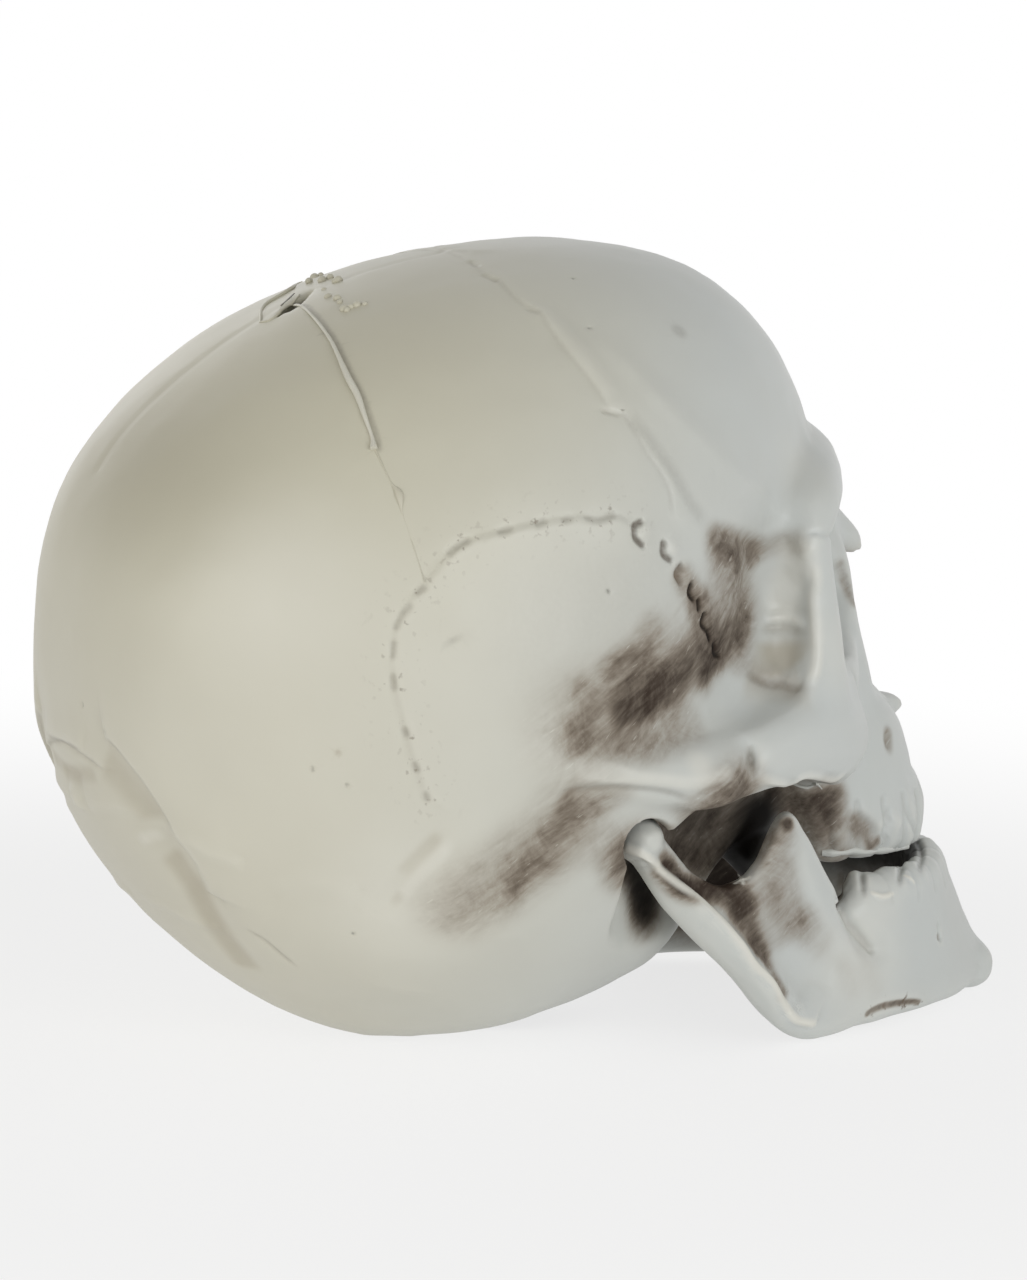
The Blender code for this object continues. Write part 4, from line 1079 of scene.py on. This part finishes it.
def make_cranium(settings, material):
    """The outside of the cranium and the lining of its hollow, from one fine skin."""
    skin = Surface("cranium")
    whole = refined(open_seats(node_copy("cranium_whole", "cranium")), settings.cranium_voxel)
    clay = Clay(whole.data)
    inside = in_view(skin.tree, HOLLOW_PLACES, clay.points, clay.normals)
    stain_cranium(clay, skin)
    clay.stains["worth"] = clay.marked()
    for size, height in CRANIUM_WAVES:
        clay.ripple(size, height, clear_of_seats(clay.points) * ~inside)
    shape_cranium(clay, skin)
    keep_in_box(clay, "cranium")
    clay.settle()
    outer, lining = parted(whole, (("cranium_skin", inside), ("cranium_lining", ~inside)))
    mark_crease_shading(outer)
    thinned(outer, settings.cranium_triangles)
    thinned(lining, settings.lining_triangles)
    for obj in (outer, lining):
        finished(obj, material, "vinyl", "cranium", "cranium")


# Relief of the jaw: the run of pixels, its radius and its height in millimetres
JAW_RELIEF = (
    (JAW_RIDGE, 0.75, 0.85),
    (CONDYLE_NICK, 0.9, -0.8),
    (MOLAR_EDGE, 1.1, -0.9),
    (MOLAR_GAPS[0], 0.7, -0.7),
    (MOLAR_GAPS[1], 0.7, -0.7),
    (MOLAR_GAPS[2], 0.7, -0.6),
    (MOLAR_SCARS[0], 0.5, 0.5),
    (MOLAR_SCARS[1], 0.5, 0.5),
    (MENTAL_LINE, 0.7, -0.4),
    (JAW_SCAR, 0.9, -0.6),
    (WHITE_NICKS[0], 0.3, 0.35),
    (WHITE_NICKS[1], 0.3, 0.35),
)


# Dots of the jaw: the pixels, their radius and height in millimetres
JAW_DOTS = ((MOLAR_CROWNS, 1.9, 0.8), ((MENTAL_HOLE,), 0.8, -1.3), ((CORONOID_NICK,), 0.8, -0.5))
# The step at the ridge of the jaw's branch: its sharpness, height and width
RIDGE_STEP = (0.8 * MM, 0.7 * MM, 3.5 * MM)
# Stains and pools of the jaw, as those of the cranium
JAW_STAINS = (
    ("paint", (JAW_SCAR,), 0.7, 0.7, 0.9, 0, LONG_STEP),
    ("speckle", (JAW_SCAR,), 1.4, 0.9, 1.0, 0, LONG_STEP),
    # painted shade in the groove round the molar block and between its crowns
    ("line", (MOLAR_EDGE,), 0.5, 0.22, 1.6, 3, LONG_STEP),
    ("line", MOLAR_GAPS, 0.4, 0.2, 1.6, 0, LONG_STEP),
    # painted highlights along the ridge and on the nicks and scars
    ("pale", (JAW_RIDGE,), 0.6, 0.85, 1.0, 0, LONG_STEP),
    ("pale", WHITE_NICKS + MOLAR_SCARS, 0.35, 0.9, 0.8, 0, DASH_STEP),
)
JAW_POOLS = (
    # brown paint in the mouth, with painted shadow in it and on the skin behind the front teeth
    ("paint", (0, -98, 20), (26, 30, 16), 0.9, None),
    ("dark", (0, -94, 22), (22, 24, 12), 0.7, None),
    ("dark", (0, -114, 27), (30, 20, 10), 0.95, (0, 1, -0.3)),
    # the inner faces, seen through the bay of the other side: brown paint with painted shadow over it
    ("paint", (34, -96, 22), (14, 26, 18), 0.95, (-1, 0, -0.3)),
    ("dark", (34, -96, 22), (14, 26, 18), 0.5, (-1, 0, -0.3)),
)


def lift_lower_teeth(clay):
    """Makes the lower row of teeth stand taller."""
    height = (clay.points[:, 2] / MM - LOWER_LIFT["from_z"]) / LOWER_LIFT["over_z"]
    forward = (LOWER_LIFT["from_y"] - clay.points[:, 1] / MM) / LOWER_LIFT["over_y"]
    clay.points[:, 2] += LOWER_LIFT["height"] * MM * np.clip(height, 0, 1) * np.clip(forward, 0, 1)


def shape_jaw(clay, skin):
    """The ridge of the upright branch, the teeth and the small holes of the jaw."""
    for pixels, radius, height in JAW_RELIEF:
        press_both(clay, skin.line(pixels, JAW_STEP), radius, height, fade=1.5)
    rear_face = skin.at_pixel(*JAW_REAR_FACE)[0]
    for side, line in zip((1, -1), both(skin.line(JAW_RIDGE, JAW_STEP))):
        clay.terrace(line, rear_face * Vector((side, 1, 1)), *RIDGE_STEP)
    for dots, radius, height in JAW_DOTS:
        for pixel in dots:
            press_both(clay, skin.dot(pixel), radius, height)
    shape_teeth(clay, LOWER_TEETH, skin)
    lift_lower_teeth(clay)


def stain_jaw(clay, skin):
    """Brown paint behind the ridge, on the coronoid and in the jaw's small holes, painted shade in the mouth, the
    grooves and on the inner faces, and painted highlights on the ridge, the nicks and the lit chin.
    """
    blank_stains(clay)
    stain_washes(clay, skin, JAW_WASHES, WASH_STEP)
    stain_patches(clay, skin, JAW_PATCHES)
    stain_both(clay, "paint", skin.dot(CORONOID_NICK), 1.3, 1.1, 0.9)
    stain_both(clay, "paint", skin.dot(MENTAL_HOLE), 0.5, 0.8, 1.0)
    stain_runs(clay, skin, JAW_STAINS)
    stain_pools(clay, JAW_POOLS)


def make_jaw(settings, material):
    """The jaw's one fine skin."""
    skin = Surface("jaw")
    obj = refined(node_copy("jaw_skin", "jaw"), settings.jaw_voxel)
    clay = Clay(obj.data)
    stain_jaw(clay, skin)
    clay.stains["worth"] = clay.marked()
    clay.ripple(*JAW_WAVES, clear_of_seats(clay.points))
    shape_jaw(clay, skin)
    keep_in_box(clay, "jaw")
    clay.settle()
    mark_crease_shading(obj)
    thinned(obj, settings.jaw_triangles)
    finished(obj, material, "vinyl", "jaw", "jaw")


def wire_along(name, points, radii, sides=8, cyclic=False):
    """A round wire along the points, with a radius at each, as a mesh."""
    curve = bpy.data.curves.new(name, "CURVE")
    curve.dimensions = "3D"
    curve.bevel_depth = 1.0
    curve.bevel_resolution = max(0, sides // 4 - 1)
    curve.use_fill_caps = True
    spline = curve.splines.new("POLY")
    spline.points.add(len(points) - 1)
    for slot, point, radius in zip(spline.points, points, radii):
        slot.co = (*point, 1.0)
        slot.radius = radius
    spline.use_cyclic_u = cyclic
    obj = linked(name, curve)
    graph = bpy.context.evaluated_depsgraph_get()
    mesh = bpy.data.meshes.new_from_object(obj.evaluated_get(graph))
    bpy.data.objects.remove(obj)
    mesh.shade_smooth()
    mesh.set_sharp_from_angle(angle=radians(50))
    return linked(name, mesh)


def joined(name, objects):
    """Joins the objects' meshes into one object."""
    bm = bmesh.new()
    for obj in objects:
        bm.from_mesh(obj.data)
        bpy.data.objects.remove(obj)
    mesh = bpy.data.meshes.new(name)
    bm.to_mesh(mesh)
    bm.free()
    return linked(name, mesh)


# The springs: points of a turn and of a lead, the hook's share of the coil's radius, the free
# wire beyond a hook, and how far a hook's hold reaches past the edge of its eye
TURN_POINTS = 24
HOOK_POINTS = 25
LEAD_POINTS = 12
HOOK_SHARE = 0.85
HOOK_NECK = 1.2 * MM


def spring_lead(radius, first, last, up):
    """Half a turn of widening wire from the middle at one height to the coil at another."""
    points = []
    for k in range(1, LEAD_POINTS):
        t = k / LEAD_POINTS
        a = radians(-90) - up * pi * t
        points.append(Vector((radius * t * cos(a), radius * t * sin(a), first + (last - first) * t)))
    return points


def make_spring(word, settings, material):
    """A pull spring with a hook at each end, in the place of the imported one."""
    node = f"jaw_spring_{word}"
    low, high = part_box(node)
    wire = settings.spring_wire
    centre = (low + high) / 2
    radius = (high.x - low.x - wire) / 2
    hook = radius * HOOK_SHARE
    ends = []
    for up, tip in ((1, high.z - wire / 2), (-1, low.z + wire / 2)):
        middle = tip - up * hook
        ring = [Vector((0, hook * sin(a), middle - up * hook * cos(a)))
                for a in np.linspace(radians(270), 0, HOOK_POINTS)]
        ends.append((middle - up * (hook + HOOK_NECK), ring))
    (top, top_hook), (bottom, bottom_hook) = ends
    count = settings.spring_curls * TURN_POINTS
    coil = []
    for k in range(count + 1):
        a = radians(90) - 2 * pi * k / TURN_POINTS
        coil.append(Vector((radius * cos(a), radius * sin(a), top + (bottom - top) * k / count)))
    path = top_hook + spring_lead(radius, top_hook[-1].z, top, 1) + coil
    path += (bottom_hook + spring_lead(radius, bottom_hook[-1].z, bottom, -1))[::-1]
    move = Vector((centre.x, centre.y, 0))
    spring = wire_along(node + "_wire", [p + move for p in path], [wire / 2] * len(path), 12)
    finished(spring, material, "steel", None, node)
    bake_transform(spring)


# The screw eyes: points of the ring and of a turn of thread, the thread's pitch, and the
# thread's place and thickness as shares of the wire
RING_POINTS = 40
THREAD_POINTS = 12
THREAD_PITCH = 0.9 * MM
THREAD_REACH = 0.42
THREAD_THICKNESS = 0.07
SHANK_RUNS = (0, 0.3, 0.6, 0.85, 1)
SHANK_RADII = (0.45, 0.44, 0.44, 0.40, 0.15)


def make_eye(node, outward, material):
    """A screw eye: a ring and a threaded shank. The ring is at the outward end along X."""
    low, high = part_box(node)
    wire = high.y - low.y
    radius = (high.z - low.z - wire) / 2
    middle = (low + high) / 2
    ring_x = high.x - wire / 2 - radius if outward > 0 else low.x + wire / 2 + radius
    tip_x = low.x if outward > 0 else high.x
    ring = [Vector((ring_x + radius * cos(a), middle.y, middle.z + radius * sin(a)))
            for a in np.linspace(0, 2 * pi, RING_POINTS, endpoint=False)]
    start = ring_x - outward * radius
    count = int(abs(tip_x - start) / THREAD_PITCH) * THREAD_POINTS
    reach = wire * THREAD_REACH
    thread = []
    for k in range(count + 1):
        a = 2 * pi * k / THREAD_POINTS
        x = start + (tip_x - start) * k / count
        thread.append(Vector((x, middle.y + reach * cos(a), middle.z + reach * sin(a))))
    shank = [Vector((start + (tip_x - start) * t, middle.y, middle.z)) for t in SHANK_RUNS]
    pieces = [wire_along("ring", ring, [wire / 2] * RING_POINTS, 16, cyclic=True),
              wire_along("shank", shank, [wire * share for share in SHANK_RADII], 16),
              wire_along("thread", thread, [wire * THREAD_THICKNESS] * len(thread), 4)]
    finished(joined(node + "_screw", pieces), material, "steel", node.split("_")[0], node)


# Steps that a small swing of sizes takes from one point to the next, in radians
SWING = 2.4
# A bead is laid in steps of this many pixels, and is at least this many pixels wide
BEAD_STEP = 3
LEAST_BEAD = 0.6
# The spike of flash behind the jaw
SPIKE_ROOT = 0.9 * MM
SPIKE_LENGTH = 2.2 * MM
# Blisters of the crown: their usual size and its swing
PIMPLE_SIZE = 0.72 * MM
PIMPLE_SWING = 0.16 * MM


def bead(name, skin, pixels, widths, sink=0.35, **stains):
    """A rounded bead of plastic laid on the skin along a run of pixels; widths are in pixels."""
    marks = curve_through([(*p, w) for p, w in zip(pixels, widths)], BEAD_STEP)
    points, radii = [], []
    for x, y, width in marks:
        place, normal = skin.at_pixel(x, y)
        radius = max(width, LEAST_BEAD) / 2 / PIXELS_PER_MM * MM
        points.append(place - normal * radius * sink)
        radii.append(radius)
    return tinted(wire_along(name, points, radii, 12), stains)


def tinted(obj, stains):
    """Gives a whole small piece an even level of each stain."""
    clay = Clay(obj.data)
    for name, amount in stains.items():
        clay.stains[name] = np.full(clay.count, amount)
    clay.settle()
    return obj


def ragged(pixels, low, high):
    """Widths that swing between low and high along a run of pixels."""
    return [low + (high - low) * (0.5 + 0.5 * sin(k * SWING)) for k in range(len(pixels))]


def spike(name, skin, pixels, root, length):
    """A thin spike of flash that stands off the skin at the first pixel and points to the last."""
    place, _ = skin.at_pixel(*pixels[0])
    far = CAMERA_PLACE + photo_ray(*pixels[-1]) * (place - CAMERA_PLACE).length
    way = (far - place).normalized()
    points = [place - way * root + way * (length + root) * t for t in (0, 0.35, 0.7, 1.0)]
    return wire_along(name, points, [root * t for t in (0.6, 0.45, 0.28, 0.08)], 12)


def pimples(name, skin, pixels):
    """Round blisters of plastic on the skin."""
    bm = bmesh.new()
    for i, pixel in enumerate(pixels):
        place, normal = skin.at_pixel(*pixel)
        size = PIMPLE_SIZE + PIMPLE_SWING * sin(i * SWING)
        turn = normal.to_track_quat("Z", "Y").to_matrix().to_4x4()
        matrix = Matrix.Translation(place) @ turn @ Matrix.Diagonal((1, 1.15, 1, 1))
        bmesh.ops.create_icosphere(bm, subdivisions=3, radius=size, matrix=matrix)
    mesh = bpy.data.meshes.new(name)
    bm.to_mesh(mesh)
    bm.free()
    mesh.shade_smooth()
    return linked(name, mesh)


def make_casting_marks(material):
    """Flash, threads and pimples that the mould left on the two castings."""
    skin = Surface("cranium")
    # the flash is lightened as a painted highlight, and the slit's hole is darkened as painted shadow
    crown = [bead("flash", skin, CROWN_FLASH, CROWN_FLASH_WIDTHS, sink=-0.5, pale=0.5),
             bead("thread", skin, CROWN_THREAD, CROWN_THREAD_WIDTHS, warmth=0.2),
             bead("lip", skin, CROWN_SLIT_UPPER_LIP, (2, 4, 5, 2)),
             bead("lip", skin, CROWN_SLIT_LOWER_LIP, (2, 4, 4, 3, 2)),
             bead("slit", skin, CROWN_SLIT_HOLE, (2, 4, 2), sink=0.8, dark=0.7)]
    # the cheek's flash and the gum's fringe are lightened as painted highlights
    face = [bead("cheek", skin, CHEEK_FLASH, (1, 3, 3, 3, 1), pale=0.3),
            bead("gum", skin, GUM_FRINGE, ragged(GUM_FRINGE, 5, 9), sink=0.5, pale=0.3)]
    for name, pieces in (("crown_flash", crown), ("face_flash", face)):
        finished(joined(name, pieces), material, "vinyl", "cranium")
    finished(pimples("crown_pimples", skin, CROWN_PIMPLES), material, "vinyl", "cranium")
    finished(spike("jaw_flash", Surface("jaw"), JAW_FLASH, SPIKE_ROOT, SPIKE_LENGTH), material, "vinyl", "jaw")


# The lamps: name, direction round the skull and above it in degrees, distance, size, share of
# the key's power, and tint
LAMPS = (("key", -160, 3, 1.3, 0.9, 1.0, (1.0, 0.99, 0.955)),
         ("face_fill", -78, 4, 1.4, 1.0, 1.65, (0.96, 0.98, 1.0)),
         ("far_side", 95, 20, 1.5, 1.0, 0.3, (1.0, 1.0, 1.0)))
WHITE = (1, 1, 1, 1)
FLOOR_TONE = (0.93, 0.93, 0.93, 1)
FILL_TONE = (1, 0.99, 0.97, 1)
# The floor begins and ends its fade at these shares of its radius
FADE_START, FADE_END = 0.10, 0.32


def turned(azimuth, elevation):
    """A turn that looks back from a direction round the skull and above it."""
    return Matrix.Rotation(azimuth, 3, "Z") @ Matrix.Rotation(pi / 2 - elevation, 3, "X")


def make_floor(settings):
    """A pale disc that keeps the skull's shadow and fades into the white surround; its glow also lights the skull
    from below.
    """
    bm = bmesh.new()
    bmesh.ops.create_circle(bm, cap_ends=True, segments=96, radius=settings.floor_radius)
    mesh = bpy.data.meshes.new("floor")
    bm.to_mesh(mesh)
    bm.free()
    floor = linked("floor", mesh)
    floor.location.z = CAD_BOX[0][2]
    sh = Shader(named_material("pale_floor"))
    x, y, _ = sh.axes(sh.coordinates())
    spread = (x * x + y * y) ** 0.5
    fade = sh.ramp(spread, settings.floor_radius * FADE_START, settings.floor_radius * FADE_END)
    fade = fade * (1 - settings.floor_glow) + settings.floor_glow
    camera_ray = sh.node("ShaderNodeLightPath", {}, {}, "Is Camera Ray")
    # the floor's own glow also reaches the skull and lights it from below
    lit = fade * (camera_ray * (1 - settings.floor_underglow) + settings.floor_underglow)
    ground = sh.node("ShaderNodeBsdfDiffuse", {}, {"Color": FLOOR_TONE})
    glow = sh.node("ShaderNodeEmission", {}, {"Color": WHITE, "Strength": 1.0})
    floor.data.materials.append(sh.output(sh.node("ShaderNodeMixShader", {}, {0: lit, 1: ground, 2: glow})))


def make_surround(settings):
    """White for the camera and in gloss, and a soft fill for all other light."""
    world = bpy.data.worlds.new("pale_room")
    bpy.context.scene.world = world
    sh = Shader(world)
    camera, gloss, clear = (sh.node("ShaderNodeLightPath", {}, {}, f"Is {kind} Ray")
                            for kind in ("Camera", "Glossy", "Transmission"))
    fill = sh.node("ShaderNodeBackground", {}, {"Color": FILL_TONE, "Strength": settings.fill})
    white = sh.node("ShaderNodeBackground", {}, {"Color": WHITE, "Strength": 1.0})
    seen = camera.most(gloss.most(clear))
    sh.output(sh.node("ShaderNodeMixShader", {}, {0: seen, 1: fill, 2: white}), "ShaderNodeOutputWorld")


def make_lamps(settings):
    """Soft round lamps that face the skull."""
    for name, azimuth, elevation, distance, size, share, tint in LAMPS:
        lamp = bpy.data.lights.new(name, "AREA")
        lamp.shape = "DISK"
        lamp.size = size
        lamp.energy = settings.key * share
        lamp.color = tint
        obj = linked(name, lamp)
        obj.matrix_world = (Matrix.Translation(CAMERA_TARGET)
                            @ turned(radians(azimuth), radians(elevation)).to_4x4()
                            @ Matrix.Translation((0, 0, distance)))


def make_camera():
    """The camera that took the photograph."""
    eye = bpy.data.cameras.new("camera")
    eye.sensor_fit = "VERTICAL"
    eye.sensor_height = SENSOR_HEIGHT
    eye.lens = FOCAL_PIXELS * SENSOR_HEIGHT / PHOTO_HEIGHT
    camera = linked("camera", eye)
    camera.matrix_world = Matrix.Translation(CAMERA_PLACE) @ CAMERA_TURN.to_4x4()
    bpy.context.scene.camera = camera


def make_stage(settings):
    """A pale floor in a white surround, soft lamps and the camera."""
    make_floor(settings)
    make_surround(settings)
    make_lamps(settings)
    make_camera()
    bpy.context.scene.view_settings.view_transform = "Standard"


class SkinSettings(bpy.types.PropertyGroup):
    """Fineness and colours of the moulded skins."""
    cranium_voxel: FloatProperty(name="Cranium Voxel", description="Fineness of the cranium's skin",
                                 default=0.55 * MM, unit="LENGTH", precision=5)
    jaw_voxel: FloatProperty(name="Jaw Voxel", description="Fineness of the jaw's skin",
                             default=0.4 * MM, unit="LENGTH", precision=5)
    cranium_triangles: IntProperty(name="Cranium Triangles", description="Triangles left on the cranium",
                                   default=190000)
    lining_triangles: IntProperty(name="Lining Triangles", description="Triangles left inside the cranium",
                                  default=24000)
    jaw_triangles: IntProperty(name="Jaw Triangles", description="Triangles left on the jaw",
                               default=150000)
    face_colour: FloatVectorProperty(name="Face", description="Cool white of the face and the jaw",
                                     subtype="COLOR", default=colour(200, 204, 202)[:3])
    back_colour: FloatVectorProperty(name="Back", description="Warm white of the back of the head",
                                     subtype="COLOR", default=colour(208, 205, 190)[:3])
    # the crown's beige is partly painted shade on the top of the skull
    crown_beige_and_shade_colour: FloatVectorProperty(name="Crown", description="Beige of the crown",
                                      subtype="COLOR", default=colour(196, 192, 172)[:3])


class WireSettings(bpy.types.PropertyGroup):
    """The springs and screw eyes."""
    spring_wire: FloatProperty(name="Spring Wire", description="Thickness of the springs' wire",
                               default=0.5 * MM, unit="LENGTH", precision=5)
    spring_curls: IntProperty(name="Curls", description="Curls of each spring", default=13, min=3)
    steel_colour: FloatVectorProperty(name="Steel", description="Colour of the plated wire",
                                      subtype="COLOR", default=(0.72, 0.72, 0.70))


class StageSettings(bpy.types.PropertyGroup):
    """The floor and the lamps."""
    floor_radius: FloatProperty(name="Floor Radius", description="Radius of the pale floor", default=1.6,
                                unit="LENGTH")
    floor_glow: FloatProperty(name="Floor Glow", default=0.75, min=0, max=1,
                              description="How far the floor near the skull is white by itself")
    # share of the floor's glow that lights the skull from below
    floor_underglow: FloatProperty(name="Floor Bounce", default=0.5, min=0, max=1,
                                description="How much of that white the skull gets from below")
    key: FloatProperty(name="Key", description="Power of the key lamp", default=6.0, unit="POWER")
    fill: FloatProperty(name="Fill", description="Strength of the surround's light", default=0.38)


class SKULL_OT_cranium(bpy.types.Operator):
    """Dress the cranium with its fine skin and lining"""
    bl_idname = "skull.cranium"
    bl_label = "Dress Cranium"

    def execute(self, context):
        settings = context.scene.skull_skin
        make_cranium(settings, vinyl(settings))
        return {"FINISHED"}


class SKULL_OT_jaw(bpy.types.Operator):
    """Dress the jaw with its fine skin"""
    bl_idname = "skull.jaw"
    bl_label = "Dress Jaw"

    def execute(self, context):
        make_jaw(context.scene.skull_skin, bpy.data.materials[VINYL_NAME])
        return {"FINISHED"}


class SKULL_OT_marks(bpy.types.Operator):
    """Add the flash and pimples that the mould left"""
    bl_idname = "skull.casting_marks"
    bl_label = "Add Casting Marks"

    def execute(self, context):
        make_casting_marks(bpy.data.materials[VINYL_NAME])
        return {"FINISHED"}


class SKULL_OT_wires(bpy.types.Operator):
    """Hang the springs in their screw eyes"""
    bl_idname = "skull.springs"
    bl_label = "Hang Springs"

    def execute(self, context):
        settings = context.scene.skull_wire
        material = steel(settings)
        for side, word in ((-1, "right"), (1, "left")):
            make_spring(word, settings, material)
            make_eye(f"cranium_eye_{word}", side, material)
            make_eye(f"jaw_eye_{word}", -side, material)
        return {"FINISHED"}


class SKULL_OT_stage(bpy.types.Operator):
    """Set the floor, the lamps and the camera"""
    bl_idname = "skull.stage"
    bl_label = "Set Stage"

    def execute(self, context):
        make_stage(context.scene.skull_stage)
        return {"FINISHED"}


OPERATORS = (SKULL_OT_cranium, SKULL_OT_jaw, SKULL_OT_marks, SKULL_OT_wires, SKULL_OT_stage)


class SKULL_PT_panel(bpy.types.Panel):
    """Lists the pieces of the skull"""
    bl_label = "Moulded Skull"
    bl_idname = "SKULL_PT_panel"
    bl_space_type = "VIEW_3D"
    bl_region_type = "UI"
    bl_category = "Skull"

    def draw(self, context):
        for group in (context.scene.skull_skin, context.scene.skull_wire, context.scene.skull_stage):
            column = self.layout.column()
            for name in group.bl_rna.properties.keys():
                if name not in ("rna_type", "name"):
                    column.prop(group, name)
        for operator in OPERATORS:
            self.layout.operator(operator.bl_idname)


CLASSES = (SkinSettings, WireSettings, StageSettings, *OPERATORS, SKULL_PT_panel)


def register():
    for cls in CLASSES:
        bpy.utils.register_class(cls)
    bpy.types.Scene.skull_skin = PointerProperty(type=SkinSettings)
    bpy.types.Scene.skull_wire = PointerProperty(type=WireSettings)
    bpy.types.Scene.skull_stage = PointerProperty(type=StageSettings)


def unregister():
    del bpy.types.Scene.skull_skin
    del bpy.types.Scene.skull_wire
    del bpy.types.Scene.skull_stage
    for cls in reversed(CLASSES):
        bpy.utils.unregister_class(cls)


def main():
    """Dresses the skull piece by piece."""
    register()
    bpy.ops.skull.cranium()
    bpy.ops.skull.jaw()
    bpy.ops.skull.casting_marks()
    bpy.ops.skull.springs()
    bpy.ops.skull.stage()


if __name__ == "__main__":
    main()
